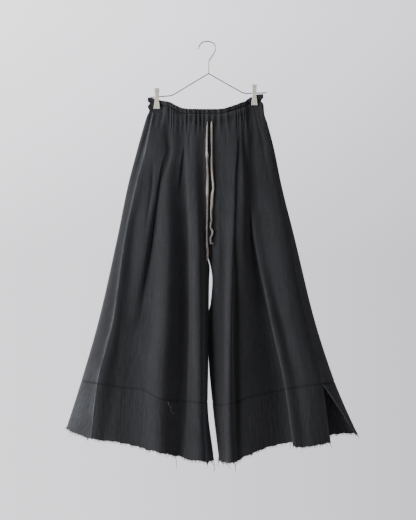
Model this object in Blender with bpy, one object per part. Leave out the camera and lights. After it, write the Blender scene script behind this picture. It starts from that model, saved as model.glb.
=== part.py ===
"""Hakama trousers hung from a wire clip hanger.

Two wide legs are each cut as a front and a back. Each front is folded into one inverted pleat.
A gathered casing with a frilled heading holds them at the waist, and a separate band with a frayed
raw edge finishes each hem. A cotton drawstring leaves the casing at the centre front. The garment
hangs from two clips on the bar ends of a one-wire hanger.

Frame: metres, +Z up, the front of the garment faces -Y and +X is to the right of who looks at it.
The origin is the underside of the hook's wire at the top of the hook, where it bears.
The tables are in millimetres. "Left" and "right" are as seen from the front.
"""
from collections import namedtuple
import math

import bmesh
import bpy
from mathutils import Vector
import numpy as np

# ---------------------------------------------------------------- driving dimensions (millimetres)
MM = 0.001
WALL = 1.5              # thickness of the cloth
SEAM_GAP = 0.3          # clearance between two sewn pieces
HALF = WALL / 2
HALF_GAP = SEAM_GAP / 2

CASING_HEIGHT = 25.0    # from the waist seam up to the stitch line under the frill
FRILL_HEIGHT = 10.0     # the frill above that stitch line at the centre
FRILL_EXTRA = 4.5       # how much taller the frill stands at the two corners
WAIST_HALF_WIDTH = 155.0

GATHER_UNEVENNESS = 0.3 # a gather is a crest and a trough of two faces, about 28 across the front
GATHER_FADE = 46.0      # how far below the waist seam the gathers run out

LEVELS = ("waist", "tuck", "hip", "thigh", "knee", "band", "hem")
LEVEL_DROP = (0, 72, 172, 315, 536, 720, 870)    # distance down the cloth from the waist seam
LEVEL_HEIGHT = {"tuck": -287, "hip": -387, "thigh": -530, "knee": -751}
BAND_DROP = LEVEL_DROP[LEVELS.index("band")]
HEM_DROP = LEVEL_DROP[LEVELS.index("hem")]

LEG_DROPS = (0, 16, 34, 56, 84, 118, 160, 210, 262, 300, 335, 358, 390, 430, 480, 536, 625, 720)
BAND_DROPS = (720, 768, 820, 870)

# One row for each fold line of a front, from the centre out. "across" is x and "forward" is how
# far it stands in front of the side seams' plane, both at the seven levels; "ends" is the height
# of the waist seam, band seam and hem on it; "cuts" is the number of faces up to the next line.
Fold = namedtuple("Fold", "name across forward ends cuts")

LEFT_FRONT = (
    Fold("trough by the centre", (-12, -12, -11, -9, -8, -8, 2),
         (9, 18, 23, 27, 27, 30, 35), (-218, -970, -1130), 4),
    Fold("inner ridge", (-35, -34, -31, -25, -20, -18, -11),
         (11, 22, 31, 41, 50, 58, 66), (-218, -969, -1124), 2),
    Fold("inner ridge shoulder", (-50, -50, -48, -44, -44, -46, -52),
         (10, 19, 27, 33, 37, 47, 57), (-218, -967, -1119), 3),
    Fold("pleat trough", (-64, -65, -63, -56, -54, -60, -71),
         (8, 12, 15, 19, 23, 33, 45), (-217, -966, -1115), 4),
    Fold("pleat ridge", (-90, -104, -109, -105, -112, -123, -125),
         (9, 17, 27, 41, 55, 67, 76), (-207, -958, -1100), 3),
    Fold("ridge foot", (-99, -113, -126, -143, -152, -172, -180),
         (8, 15, 17, 25, 35, 48, 58), (-202, -935, -1088), 2),
    Fold("outer pleat return", (-106, -117, -130, -150, -183, -217, -236),
         (6, 13, 15, 20, 30, 42, 54), (-200, -931, -1074), 1),
    Fold("outer pleat edge", (-113, -121, -134, -159, -200, -230, -250),
         (7, 17, 24, 31, 32, 43, 54), (-199, -930, -1073), 3),
    Fold("outer panel", (-130, -148, -172, -200, -218, -247, -268),
         (5, 14, 20, 25, 33, 43, 52), (-196, -926, -1072), 2),
    Fold("side seam", (-148, -166, -192, -222, -254, -296, -313),
         (5, 10, 17, 28, 40, 50, 53), (-192, -918, -1064), 2),
)
RIGHT_FRONT = (
    Fold("trough by the centre", (15, 15, 15, 17, 17, 24, 36),
         (9, 17, 22, 26, 25, 29, 35), (-218, -977, -1127), 3),
    Fold("inner slope", (42, 45, 46, 46, 44, 42, 47),
         (11, 20, 26, 31, 36, 43, 52), (-217, -975, -1125), 3),
    Fold("inner pleat edge", (75, 77, 74, 67, 62, 59, 61),
         (9, 23, 31, 39, 48, 54, 63), (-206, -973, -1125), 2),
    Fold("inner pleat return", (82, 80, 77, 71, 70, 76, 83),
         (8, 15, 20, 25, 25, 35, 47), (-205, -971, -1119), 2),
    Fold("pleat floor", (89, 93, 97, 95, 92, 98, 104),
         (8, 21, 31, 35, 30, 36, 47), (-203, -961, -1107), 4),
    Fold("outer pleat return", (97, 97, 113, 126, 181, 218, 236),
         (8, 14, 16, 15, 15, 25, 37), (-201, -934, -1073), 2),
    Fold("outer pleat edge", (104, 102, 109, 122, 169, 208, 228),
         (8, 19, 23, 28, 43, 54, 64), (-199, -932, -1073), 2),
    Fold("outer trough", (116, 121, 133, 148, 199, 238, 257),
         (5, 16, 23, 28, 40, 52, 63), (-190, -930, -1083), 3),
    Fold("outer ridge", (130, 146, 168, 196, 229, 266, 281),
         (4, 16, 26, 35, 45, 55, 63), (-187, -924, -1081), 3),
    Fold("side seam", (147, 167, 188, 218, 263, 306, 328),
         (4, 9, 16, 25, 34, 44, 48), (-186, -921, -1075), 2),
)
# The right band is slit at the side seam: at the hem the back's edge has swung this far
# out, back and up from the front's edge.
SLIT_SPREAD = (67.0, 18.0, 19.0)
CENTRE_CUTS = 2         # faces from the inner edge to the first fold line
# The outline, where the back turns round the side.
LEFT_OUTLINE = Fold("outline", (-162, -189, -215, -244, -294, -341, -382), (0, -3, -6, -8, -10, -12, -14),
                    (-192, -916, -1043), 3)
RIGHT_OUTLINE = Fold("outline", (152, 179, 200, 235, 289, 343, 400), (0, -3, -6, -8, -10, -12, -10),
                     (-186, -918, -1056), 3)
CORNER_TAPER = {-1: 0.0, 1: 7.0}    # how far the frill's corner on each side has drawn in
BACK_WAIST_CURVE = 2.2  # the back's waist seam rises late towards the side, so it hides behind the front's

# The back folds are plain soft ridges and troughs. "share" is the place of the line between the
# centre and the outline at the waist and at the hem, and "backward" is how far it stands behind.
BackFold = namedtuple("BackFold", "name share_waist share_hem backward hem_share cuts")
BACK = (
    BackFold("outer ridge", 0.86, 0.82, (4, 15, 26, 38, 52, 64, 73), 0.92, 4),
    BackFold("outer trough", 0.71, 0.62, (7, 14, 20, 27, 35, 42, 48), 0.70, 4),
    BackFold("middle ridge", 0.53, 0.43, (9, 22, 32, 44, 58, 70, 80), 0.46, 4),
    BackFold("middle trough", 0.38, 0.27, (8, 15, 21, 28, 36, 44, 51), 0.27, 4),
    BackFold("inner ridge", 0.21, 0.15, (10, 22, 32, 42, 53, 64, 72), 0.13, 3),
    BackFold("trough by the centre", 0.08, 0.05, (9, 16, 21, 26, 28, 32, 36), 0.03, 2),
)

# The inner edge of each leg: the centre seam down to the crotch, then the inseam. "turn" goes
# from 0, where the edge faces its fellow across the centre, to 1, where front meets back.
Edge = namedtuple("Edge", "name drop left right depth turn")
INNER_EDGE = (
    Edge("waist", 0, -0.15, 0.15, 10, 0.0),
    Edge("tuck", 72, -0.15, 0.15, 20, 0.0),
    Edge("hip", 172, -0.15, 0.15, 26, 0.0),
    Edge("rise", 285, -0.15, 0.15, 28, 0.0),
    Edge("fork", 335, -0.92, 0.92, 14, 0.5),
    Edge("crotch", 358, -0.95, 0.95, 0, 1.0),
    Edge("gap", 430, 2.0, 12.5, 0, 1.0),
    Edge("knee", 536, 2.4, 4.4, 0, 1.0),
    Edge("calf", 630, 1.6, 3.6, 0, 1.0),
    Edge("band", 720, -2.6, 16.0, 0, 1.0),
    Edge("hem", 870, 14.0, 31.0, 0, 1.0),
)
INNER_ENDS = (-218, -971, -1125)    # height of the waist seam, band seam and hem on that edge

# The casing from the waist seam up: how far it puffs out and how deep the gathers are.
CasingRow = namedtuple("CasingRow", "name rise puff gather")
CASING = (
    CasingRow("waist seam", 0.0, 0.0, 2.3),
    CasingRow("puff", 12.0, 1.6, 2.2),
    CasingRow("stitch line", 25.0, -0.4, 1.8),
    CasingRow("top", 35.0, 1.2, 3.2),
)

# Hanger: the wire follows these points (x, z); the bar ends run on past the clips.
WIRE_RADIUS = 1.35
HOOK_ROUTE = ((-25.4, -19.4), (-20.5, -7.6), (-12.0, -0.6), (0.0, 1.35), (12.0, -1.6), (19.6, -9.4),
              (21.6, -18.6), (17.6, -30.0), (9.6, -42.4), (4.0, -51.5), (2.7, -60.0), (2.7, -85.6))
ARM_ROUTE = ((-154.4, -150.1), (-128.0, -147.9), (-99.4, -145.5), (-88.3, -140.7), (-42.0, -112.3),
             (2.7, -85.6), (50.0, -112.8), (93.4, -136.9), (101.8, -139.3), (130.0, -138.5), (159.6, -137.4))
Clip = namedtuple("Clip", "name centre top")
CLIPS = (Clip("left", -137.0, -126.0), Clip("right", 126.4, -116.4))
CLIP_HALF_GRIP = HALF + HALF_GAP + 0.05     # a cloth wall's middle in the grip, from the middle plane
JAW_INNER = CLIP_HALF_GRIP + HALF + SEAM_GAP
JawRow = namedtuple("JawRow", "name down half_width inner")
JAW = (
    JawRow("handle end", 0.0, 6.0, 8.0),
    JawRow("handle", 10.0, 5.4, 4.6),
    JawRow("bar", 21.0, 4.7, JAW_INNER + 0.1),
    JawRow("neck", 28.0, 5.2, JAW_INNER),
    JawRow("grip", 42.0, 7.2, JAW_INNER),
    JawRow("tip", 55.0, 8.7, JAW_INNER),
)
JAW_THICKNESS = 2.4

# Drawstring: soft cotton cords from the foot of the casing, (x, z) points on their way down.
CORD_RADIUS = 3.0
CORD_CLEARANCE = 0.4
LEFT_CORD = ((0.0, -209), (-0.6, -225), (-2.4, -260), (-2.7, -294), (-1.0, -330), (0.5, -368),
             (-0.9, -402), (-0.3, -436), (-1.0, -483), (-1.8, -530), (0.6, -562), (-0.6, -590))
RIGHT_CORD = ((9.4, -208), (10.6, -225), (11.4, -263), (11.3, -297), (11.8, -331), (12.0, -362),
              (15.0, -397), (11.6, -428), (10.5, -455), (9.4, -480), (7.4, -502), (11.5, -518),
              (10.0, -534), (14.0, -548))

# Fray: threads of the raw edge, one for each pitch, on a narrow strip along the hem.
FRAY_PITCH = 15.0
FRAY_GAP = 0.8          # the strip hangs this far below the band
FRAY_STRIP = 2.0
FRAY_THICKNESS = 1.2
FRAY_ROOT = 1.3         # width of a thread's root
FRAY_LENGTH = 9.0
FRAY_TURN = 5.0         # the strip turns a fold's corner over twice this distance
LONG_THREADS = {"front_left": {6: 34, 11: 22}, "front_right": {1: 26, 3: 40, 19: 20},
                "back_left": {5: 24}, "back_right": {9: 26}}


# ---------------------------------------------------------------- curves and surfaces
def through(knots, values, at):
    """Smooth curve through the knots that never overshoots a value, run on straight past the ends."""
    values = np.asarray(values, float)
    if at <= knots[0]:
        return values[0]
    steps = np.diff(knots)
    slopes = np.diff(values, axis=0) / steps.reshape((-1,) + (1,) * (values.ndim - 1))
    tangents = np.empty_like(values)
    tangents[0], tangents[-1] = slopes[0], slopes[-1]
    same_way = slopes[1:] * slopes[:-1] > 0
    total = np.where(same_way, slopes[1:] + slopes[:-1], 1.0)
    tangents[1:-1] = np.where(same_way, 2 * slopes[1:] * slopes[:-1] / total, 0.0)
    if at >= knots[-1]:
        return values[-1] + tangents[-1] * (at - knots[-1])
    k = int(np.searchsorted(knots, at, side="right")) - 1
    return hermite(values[k], values[k + 1], tangents[k] * steps[k], tangents[k + 1] * steps[k],
                   (at - knots[k]) / steps[k])


def hermite(start, end, start_pull, end_pull, f):
    """Cubic between two values with the given pulls at its ends."""
    return ((2 * f**3 - 3 * f**2 + 1) * start + (f**3 - 2 * f**2 + f) * start_pull
            + (3 * f**2 - 2 * f**3) * end + (f**3 - f**2) * end_pull)


def ease(value, low, high):
    """0 below low, 1 above high, smooth between."""
    f = np.clip((value - low) / (high - low), 0.0, 1.0)
    return f * f * (3 - 2 * f)


def heights(ends):
    """Heights of the seven levels on a line from its waist seam, band seam and hem."""
    waist, band, hem = ends
    return (waist, *LEVEL_HEIGHT.values(), band, hem)


def fold_point(fold, drop):
    """Where a fold line is at a drop below the waist seam."""
    return np.array((through(LEVEL_DROP, fold.across, drop), -through(LEVEL_DROP, fold.forward, drop),
                     through(LEVEL_DROP, heights(fold.ends), drop)))


def back_folds(outline):
    """The back's fold lines, spread between the centre and the leg's outline."""
    folds = []
    shares = np.linspace(0, 1, len(LEVELS))
    for row in BACK:
        share = row.share_waist + (row.share_hem - row.share_waist) * shares
        across = tuple(share * np.array(outline.across))
        backward = tuple(-value for value in row.backward)
        ends = [inner + row.hem_share * (outer - inner) for inner, outer in zip(INNER_ENDS, outline.ends)]
        ends[0] = INNER_ENDS[0] + row.share_waist ** BACK_WAIST_CURVE * (outline.ends[0] - INNER_ENDS[0])
        folds.append(Fold(row.name, across, backward, ends, row.cuts))
    return folds


def inner_edge(side, drop):
    """Place of a leg's inner edge and how far it has turned from the centre seam to the inseam."""
    knots = [row.drop for row in INNER_EDGE]
    values = [(row.left if side < 0 else row.right, row.depth, row.turn) for row in INNER_EDGE]
    x, depth, turn = through(knots, values, drop)
    return x, max(depth, HALF_GAP), turn, through(LEVEL_DROP, heights(INNER_ENDS), drop)


def chain(side, face, drop):
    """Fold points of one face of a leg at a drop, the pulls' directions and the faces per stretch."""
    front = LEFT_FRONT if side < 0 else RIGHT_FRONT
    outline = LEFT_OUTLINE if side < 0 else RIGHT_OUTLINE
    x, depth, turn, z = inner_edge(side, drop)
    if face == "front":
        points = [np.array((x, -depth, z))] + [fold_point(fold, drop) for fold in front + (outline,)]
        cuts = [CENTRE_CUTS] + [fold.cuts for fold in front[:-1]]
        inner_pull = np.array((side * (1 - turn), -turn, 0.0))
    else:
        lines = [front[-2], front[-1], outline] + back_folds(outline)
        points = [fold_point(fold, drop) for fold in lines] + [np.array((x, depth, z))]
        if side > 0 and drop > BAND_DROP:
            points[1] = points[1] + np.array(SLIT_SPREAD) * (drop - BAND_DROP) / (HEM_DROP - BAND_DROP)
        cuts = [fold.cuts for fold in lines[1:]]
        inner_pull = np.array((-side * (1 - turn), -turn, 0.0))
    pulls = [np.zeros(3)] * len(points)
    for k in range(1, len(points) - 1):
        before = points[k] - points[k - 1]
        after = points[k + 1] - points[k]
        mean = before / np.linalg.norm(before) + after / np.linalg.norm(after)
        pulls[k] = mean / np.linalg.norm(mean)
    pulls[0 if face == "front" else -1] = inner_pull / np.linalg.norm(inner_pull)
    if face == "front":
        return points[:-1], pulls[:-1], cuts
    return points[1:], pulls[1:], cuts


def section(side, face, drop, finer):
    """Points across one face of a leg at a drop, before gathers."""
    points, pulls, cuts = chain(side, face, drop)
    out = [points[0]]
    for k, count in enumerate(cuts):
        length = np.linalg.norm(points[k + 1] - points[k])
        for step in range(1, count * finer + 1):
            out.append(hermite(points[k], points[k + 1], pulls[k] * length, pulls[k + 1] * length,
                               step / (count * finer)))
    return np.array(out), pulls[0], pulls[-1]


def casing_value(rise, column):
    """Puff or gather depth of the casing at a rise above the waist seam."""
    return through([row.rise for row in CASING], [getattr(row, column) for row in CASING], rise)


def corner_share(x):
    """0 at the centre of the waist and 1 at its corners."""
    return np.minimum(np.abs(x) / WAIST_HALF_WIDTH, 1.0) ** 2


def grip(x, drop):
    """1 where a clip holds the two cloth walls together, 0 away from it."""
    nearest = np.min([np.abs(x - clip.centre) for clip in CLIPS], axis=0)
    return (1 - ease(nearest, 13.0, 27.0)) * (1 - ease(drop, -12.0, 34.0))


def gather_wave(count, finer):
    """Gathers along a row, a crest or a trough at each face's edge, uneven in depth."""
    place = np.arange(count) / finer
    uneven = 1 - GATHER_UNEVENNESS * (0.5 + 0.5 * np.sin(1.3 * place + 0.4 * np.sin(0.9 * place)))
    return np.cos(math.pi * place) * uneven


def cloth_row(side, face, drop, finer=1):
    """One row of the cloth's middle surface, with the waist gathers, and its end directions."""
    row, start_pull, end_pull = section(side, face, max(drop, 0.0), finer)
    waist_x = section(side, face, 0.0, finer)[0][:, 0]
    outline_x = abs((LEFT_OUTLINE if side < 0 else RIGHT_OUTLINE).across[0])
    if drop < 0:
        share = -drop / (CASING_HEIGHT + FRILL_HEIGHT)
        corner = corner_share(waist_x)
        row[:, 2] += share * (CASING_HEIGHT + FRILL_HEIGHT + FRILL_EXTRA * corner)
        row[:, 0] -= side * CORNER_TAPER[side] * share * corner
        puff = casing_value(-drop, "puff")
        gather = casing_value(-drop, "gather")
    else:
        puff = 0.0
        gather = CASING[0].gather * (1 - ease(drop, 0.0, GATHER_FADE))
    out = -1.0 if face == "front" else 1.0
    held = grip(waist_x, drop)
    free = 1 - ease(np.abs(waist_x), outline_x - 16.0, outline_x - 3.0)
    row[:, 1] += out * free * (puff + gather * gather_wave(len(row), finer))
    flat = np.clip(row[:, 1], -CLIP_HALF_GRIP, CLIP_HALF_GRIP)
    row[:, 1] += held * (flat - row[:, 1])
    return row, start_pull, end_pull


def cloth_walls(side, face, drops, finer=1):
    """Outer and inner skins of one face of a leg over the given drops."""
    delta = 1.0
    middle, outward = [], []
    for drop in drops:
        row, start_pull, end_pull = cloth_row(side, face, drop, finer)
        above = cloth_row(side, face, drop - delta, finer)[0]
        below = cloth_row(side, face, drop + delta, finer)[0]
        along = np.gradient(row, axis=0)
        along[0], along[-1] = start_pull, end_pull
        across = np.cross(along, below - above)
        if side > 0:
            across = -across
        across /= np.linalg.norm(across, axis=1)[:, None]
        inner = 0 if face == "front" else -1
        across[inner, 2] = 0.0
        across[inner] /= np.linalg.norm(across[inner])
        seam = -1 if face == "front" else 0
        pull = end_pull if face == "front" else -start_pull
        row[seam] -= pull * HALF_GAP
        middle.append(row)
        outward.append(across)
    middle, outward = np.array(middle), np.array(outward)
    return middle + outward * HALF, middle - outward * HALF


# ---------------------------------------------------------------- mesh helpers
def face_outwards(mesh):
    """Turn all faces of a closed mesh to point out of it."""
    bmesh.ops.recalc_face_normals(mesh, faces=mesh.faces)
    if mesh.calc_volume(signed=True) < 0:
        bmesh.ops.reverse_faces(mesh, faces=mesh.faces)


def add_object(name, mesh_source, colour, roughness, metallic=0.0):
    """A named object with its own material, from a bmesh."""
    mesh = bpy.data.meshes.new(name)
    mesh_source.to_mesh(mesh)
    mesh_source.free()
    body = bpy.data.objects.new(name, mesh)
    bpy.context.scene.collection.objects.link(body)
    dress(body, colour, roughness, metallic)
    return body


def dress(body, colour, roughness, metallic=0.0):
    """Give an object its own Principled material."""
    material = bpy.data.materials.new(body.name)
    material.use_nodes = True
    shader = material.node_tree.nodes["Principled BSDF"]
    shader.inputs["Base Color"].default_value = (*colour, 1.0)
    shader.inputs["Roughness"].default_value = roughness
    shader.inputs["Metallic"].default_value = metallic
    body.data.materials.clear()
    body.data.materials.append(material)


def sheet(name, outer, inner):
    """Closed cloth wall between two skins of equal rows and columns."""
    mesh = bmesh.new()
    skins = []
    for skin in (outer, inner):
        skins.append([[mesh.verts.new(Vector(point) * MM) for point in row] for row in skin])
    rows, columns = outer.shape[:2]
    front, back = skins
    for r in range(rows - 1):
        for c in range(columns - 1):
            mesh.faces.new((front[r][c], front[r][c + 1], front[r + 1][c + 1], front[r + 1][c]))
            mesh.faces.new((back[r][c], back[r + 1][c], back[r + 1][c + 1], back[r][c + 1]))
    rim = [(0, c) for c in range(columns)] + [(r, columns - 1) for r in range(1, rows)]
    rim += [(rows - 1, c) for c in range(columns - 2, -1, -1)] + [(r, 0) for r in range(rows - 2, 0, -1)]
    for (r0, c0), (r1, c1) in zip(rim, rim[1:] + rim[:1]):
        mesh.faces.new((front[r0][c0], back[r0][c0], back[r1][c1], front[r1][c1]))
    face_outwards(mesh)
    body = add_object(name, mesh, CLOTH, 0.9)
    body.data.shade_smooth()
    body.data.set_sharp_from_angle(angle=math.radians(50))
    return body


def tube(name, points, radius, resolution, colour, roughness, metallic=0.0):
    """Round wire or cord: a bevelled curve through the points, with filled ends."""
    curve = bpy.data.curves.new(name, "CURVE")
    curve.dimensions = "3D"
    curve.bevel_depth = radius * MM
    curve.bevel_resolution = resolution
    curve.use_fill_caps = True
    curve.render_resolution_u = 0
    spline = curve.splines.new("POLY")
    spline.points.add(len(points) - 1)
    for target, point in zip(spline.points, points):
        target.co = (*(Vector(point) * MM), 1.0)
    body = bpy.data.objects.new(name, curve)
    bpy.context.scene.collection.objects.link(body)
    dress(body, colour, roughness, metallic)
    return body


def smooth_route(points, count):
    """Evenly spaced points on a smooth curve through the route's own points."""
    route = np.array(points, float)
    knots = np.concatenate(([0.0], np.cumsum(np.linalg.norm(np.diff(route, axis=0), axis=1))))
    slopes = np.gradient(route, knots, axis=0)
    places = []
    for at in np.linspace(0, knots[-1], count):
        k = min(int(np.searchsorted(knots, at, side="right")) - 1, len(knots) - 2)
        step = knots[k + 1] - knots[k]
        places.append(hermite(route[k], route[k + 1], slopes[k] * step, slopes[k + 1] * step,
                              (at - knots[k]) / step))
    return places


# ---------------------------------------------------------------- the garment
CLOTH = (0.030, 0.032, 0.036)
CORD = (0.62, 0.56, 0.50)
WIRE = (0.62, 0.58, 0.47)
JAW_COLOUR = (0.72, 0.68, 0.60)


def build_legs():
    """Four leg panels and four hem bands."""
    for side, side_name in ((-1, "left"), (1, "right")):
        for face in ("front", "back"):
            drops = list(LEG_DROPS)
            drops[0] += HALF_GAP
            drops[-1] -= HALF_GAP
            sheet(f"{face}_leg_{side_name}", *cloth_walls(side, face, drops))
            drops = list(BAND_DROPS)
            drops[0] += HALF_GAP
            sheet(f"hem_band_{face}_{side_name}", *cloth_walls(side, face, drops))


def build_waist():
    """Gathered casing with its frill, one piece in front and one behind."""
    full = CASING_HEIGHT + FRILL_HEIGHT
    drops = [-HALF_GAP, -12.0, -CASING_HEIGHT, -full]
    for face in ("front", "back"):
        halves = [cloth_walls(side, face, drops) for side in (-1, 1)]
        skins = []
        for left, right in zip(halves[0], halves[1]):
            if face == "front":
                first, second = left[:, ::-1], right
            else:
                first, second = left, right[:, ::-1]
            seam = (first[:, -1:] + second[:, :1]) / 2
            skins.append(np.concatenate((first[:, :-1], seam, second[:, 1:]), axis=1))
        sheet(f"waist_{face}", *skins)


def build_fray():
    """Threads of the raw edge on a narrow strip just below each hem band."""
    for side, side_name in ((-1, "left"), (1, "right")):
        for face in ("front", "back"):
            row = cloth_row(side, face, HEM_DROP + FRAY_GAP)[0]
            below = cloth_row(side, face, HEM_DROP + FRAY_GAP + FRAY_STRIP)[0]
            add_fray(f"fray_{face}_{side_name}", row, below, LONG_THREADS[f"{face}_{side_name}"])


def add_fray(name, top, bottom, long_threads):
    """Strip with a thread poked down from the underside at each pitch."""
    travelled = np.concatenate(([0.0], np.cumsum(np.linalg.norm(np.diff(top, axis=0), axis=1))))
    count = int(travelled[-1] / FRAY_PITCH)
    stations = []
    for k in range(count):
        middle = (k + 0.5 + 0.25 * math.sin(2.4 * k)) * travelled[-1] / count
        stations += [middle - FRAY_ROOT / 2, middle + FRAY_ROOT / 2]
    stations = [0.5] + stations + [travelled[-1] - 0.5]
    mesh = bmesh.new()
    rings = []
    for at in stations:
        upper = np.array([np.interp(at, travelled, top[:, axis]) for axis in range(3)])
        lower = np.array([np.interp(at, travelled, bottom[:, axis]) for axis in range(3)])
        ahead = np.array([np.interp(at + FRAY_TURN, travelled, top[:, axis]) for axis in range(3)])
        behind = np.array([np.interp(at - FRAY_TURN, travelled, top[:, axis]) for axis in range(3)])
        out = np.cross(ahead - behind, lower - upper)
        out *= FRAY_THICKNESS / 2 / np.linalg.norm(out)
        ring = [upper + out, upper - out, lower - out, lower + out]
        rings.append([mesh.verts.new(Vector(point) * MM) for point in ring])
    undersides = []
    for first, second in zip(rings, rings[1:]):
        for k in range(4):
            face = mesh.faces.new((first[k], second[k], second[(k + 1) % 4], first[(k + 1) % 4]))
            if k == 2:
                undersides.append(face)
    mesh.faces.new(rings[0])
    mesh.faces.new(reversed(rings[-1]))
    roots = undersides[1::2]
    tips = bmesh.ops.poke(mesh, faces=roots)["verts"]
    for k, tip in enumerate(tips):
        length = long_threads.get(k, FRAY_LENGTH + 4.0 * math.sin(1.7 * k) + 2.0 * math.sin(4.1 * k))
        tip.co += Vector((0.22 * math.sin(3.1 * k), 0.12 * math.sin(5.3 * k), -1.0)) * length * MM
    face_outwards(mesh)
    add_object(name, mesh, CLOTH, 0.95)


# ---------------------------------------------------------------- drawstring
def front_surface(x, z):
    """Forward-most y of the front cloth at a place near the centre."""
    nearest = []
    side = -1 if x < 0 else 1
    for drop in np.arange(-34.0, 400.0, 3.0):
        row = cloth_row(side, "front", drop)[0]
        close = np.abs(row[:, 0] - x) < CORD_RADIUS + 4.0
        if np.any(close):
            spot = row[close]
            nearest.append((abs(float(np.mean(spot[:, 2])) - z), float(np.min(spot[:, 1]))))
    nearest.sort()
    return min(y for distance, y in nearest[:3])


def build_cords():
    """The two free ends of the drawstring, resting on the front of the cloth."""
    for name, route in (("drawstring_left", LEFT_CORD), ("drawstring_right", RIGHT_CORD)):
        points = []
        resting = 0.0
        for x, z in route:
            resting = min(resting, front_surface(x, z) - HALF - CORD_RADIUS - CORD_CLEARANCE)
            points.append((x, resting, z))
        tube(name, smooth_route(points, 32), CORD_RADIUS, 2, CORD, 0.9)


# ---------------------------------------------------------------- hanger
def build_wire():
    """Hook and arms bent from wire and welded where they meet."""
    hook = tube("hanger_hook_guide", smooth_route([(x, 0, z) for x, z in HOOK_ROUTE], 30), WIRE_RADIUS, 2,
                WIRE, 0.35, 0.9)
    arms = tube("hanger_arm_guide", corner_route(ARM_ROUTE), WIRE_RADIUS, 2, WIRE, 0.35, 0.9)
    shapes = []
    for guide in (arms, hook):
        evaluated = guide.evaluated_get(bpy.context.evaluated_depsgraph_get())
        shapes.append(bpy.data.meshes.new_from_object(evaluated))
    bodies = []
    for name, mesh in (("hanger_wire", shapes[0]), ("hook_to_weld", shapes[1])):
        joined = bmesh.new()
        joined.from_mesh(mesh)
        bmesh.ops.remove_doubles(joined, verts=joined.verts, dist=0.00002)
        face_outwards(joined)
        bodies.append(add_object(name, joined, WIRE, 0.35, 0.9))
    wire, cutter = bodies
    weld = wire.modifiers.new("weld", "BOOLEAN")
    weld.operation = "UNION"
    weld.object = cutter
    cutter.hide_render = True
    cutter.display_type = "WIRE"
    for guide in (hook, arms):
        bpy.data.objects.remove(guide, do_unlink=True)


def corner_route(points):
    """A bent wire: straight stretches with a small round bend at each inner point."""
    route = []
    places = [Vector((x, 0.0, z)) for x, z in points]
    bend = 3.0
    for before, here, after in zip(places, places[1:], places[2:]):
        inward = here + (before - here).normalized() * bend
        outward = here + (after - here).normalized() * bend
        for f in (0.0, 0.5, 1.0):
            route.append(inward.lerp(here, f).lerp(here.lerp(outward, f), f))
    return [places[0]] + route + [places[-1]]


def build_clips():
    """Front and back jaw of each clip, waisted where the bar passes between them."""
    for clip in CLIPS:
        for out, face in ((-1, "front"), (1, "back")):
            mesh = bmesh.new()
            rings = []
            for row in JAW:
                z = clip.top - row.down
                corners = []
                for x_side, depth in ((-1, 0), (1, 0), (1, 1), (-1, 1)):
                    y = out * (row.inner + depth * JAW_THICKNESS)
                    corners.append((clip.centre + x_side * row.half_width, y, z))
                rings.append([mesh.verts.new(Vector(corner) * MM) for corner in corners])
            for upper, lower in zip(rings, rings[1:]):
                for k in range(4):
                    mesh.faces.new((upper[k], lower[k], lower[(k + 1) % 4], upper[(k + 1) % 4]))
            mesh.faces.new(rings[0])
            mesh.faces.new(reversed(rings[-1]))
            face_outwards(mesh)
            add_object(f"clip_{clip.name}_{face}", mesh, JAW_COLOUR, 0.45)


def main():
    for leftover in list(bpy.data.objects):
        bpy.data.objects.remove(leftover, do_unlink=True)
    build_legs()
    build_waist()
    build_fray()
    build_cords()
    build_wire()
    build_clips()


main()
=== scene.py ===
"""Hakama trousers on a wire clip hanger: the looks of every piece, made around the fixed solids.

The order is a maker's: the cloth, the four leg panels, the hem bands, the gathered waist, the
stitching, the raw edge, the drawstring, the hanger's wire and its clips. Tables are in millimetres.
"Left" and "right" are as seen from the front, which faces -Y, and a side is -1 for left, 1 for right.
"""

from collections import namedtuple
import math

import bmesh
import bpy
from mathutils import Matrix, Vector
import numpy as np


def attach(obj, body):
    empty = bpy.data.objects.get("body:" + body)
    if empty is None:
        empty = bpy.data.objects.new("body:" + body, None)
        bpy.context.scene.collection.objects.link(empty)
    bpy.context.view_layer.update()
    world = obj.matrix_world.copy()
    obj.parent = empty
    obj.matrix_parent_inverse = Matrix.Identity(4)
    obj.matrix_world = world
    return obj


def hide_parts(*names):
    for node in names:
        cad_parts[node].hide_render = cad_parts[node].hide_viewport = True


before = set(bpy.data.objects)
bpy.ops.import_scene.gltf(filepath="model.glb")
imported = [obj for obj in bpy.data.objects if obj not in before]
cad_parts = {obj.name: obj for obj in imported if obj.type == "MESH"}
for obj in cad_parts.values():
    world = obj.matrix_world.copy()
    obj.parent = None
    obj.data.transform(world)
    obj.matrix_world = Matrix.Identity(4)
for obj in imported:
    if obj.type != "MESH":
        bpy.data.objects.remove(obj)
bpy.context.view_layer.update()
MM = 0.001

# ---------------------------------------------------------------- studio
# A plain pale floor below the hem, a plain pale surround, one broad soft light high on the
# viewer's left, a weak fill on the right and a low one behind. The camera is level, four metres
# in front, and frames the garment from the hook to below the hem.
CAMERA_PLACE = (0.001, -4.0, -0.589)
SENSOR = 36.0
FRAME_HEIGHT = 1.404        # metres of the middle plane that the picture shows, top to bottom
FLOOR_HEIGHT = -1.62
FLOOR_RADIUS = 1.15
FLOOR_GREY = (0.62, 0.61, 0.62, 1)
SURROUND_LEFT = (0.655, 0.640, 0.680)
SURROUND_RIGHT = (0.424, 0.410, 0.448)
SURROUND_SPREAD = 0.14      # sideways part of a direction at which these two colours are reached
SURROUND_LIGHT = 0.16       # how much of the surround's brightness falls on the garment
SURROUND_SHOWN = 2.5        # and how much of it the camera sees
SURROUND_RISE = (0.16, 0.95, 1.33)      # upward part of a direction, brightness level and at that
AIM = Vector((0.0, 0.0, -0.62))


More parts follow.
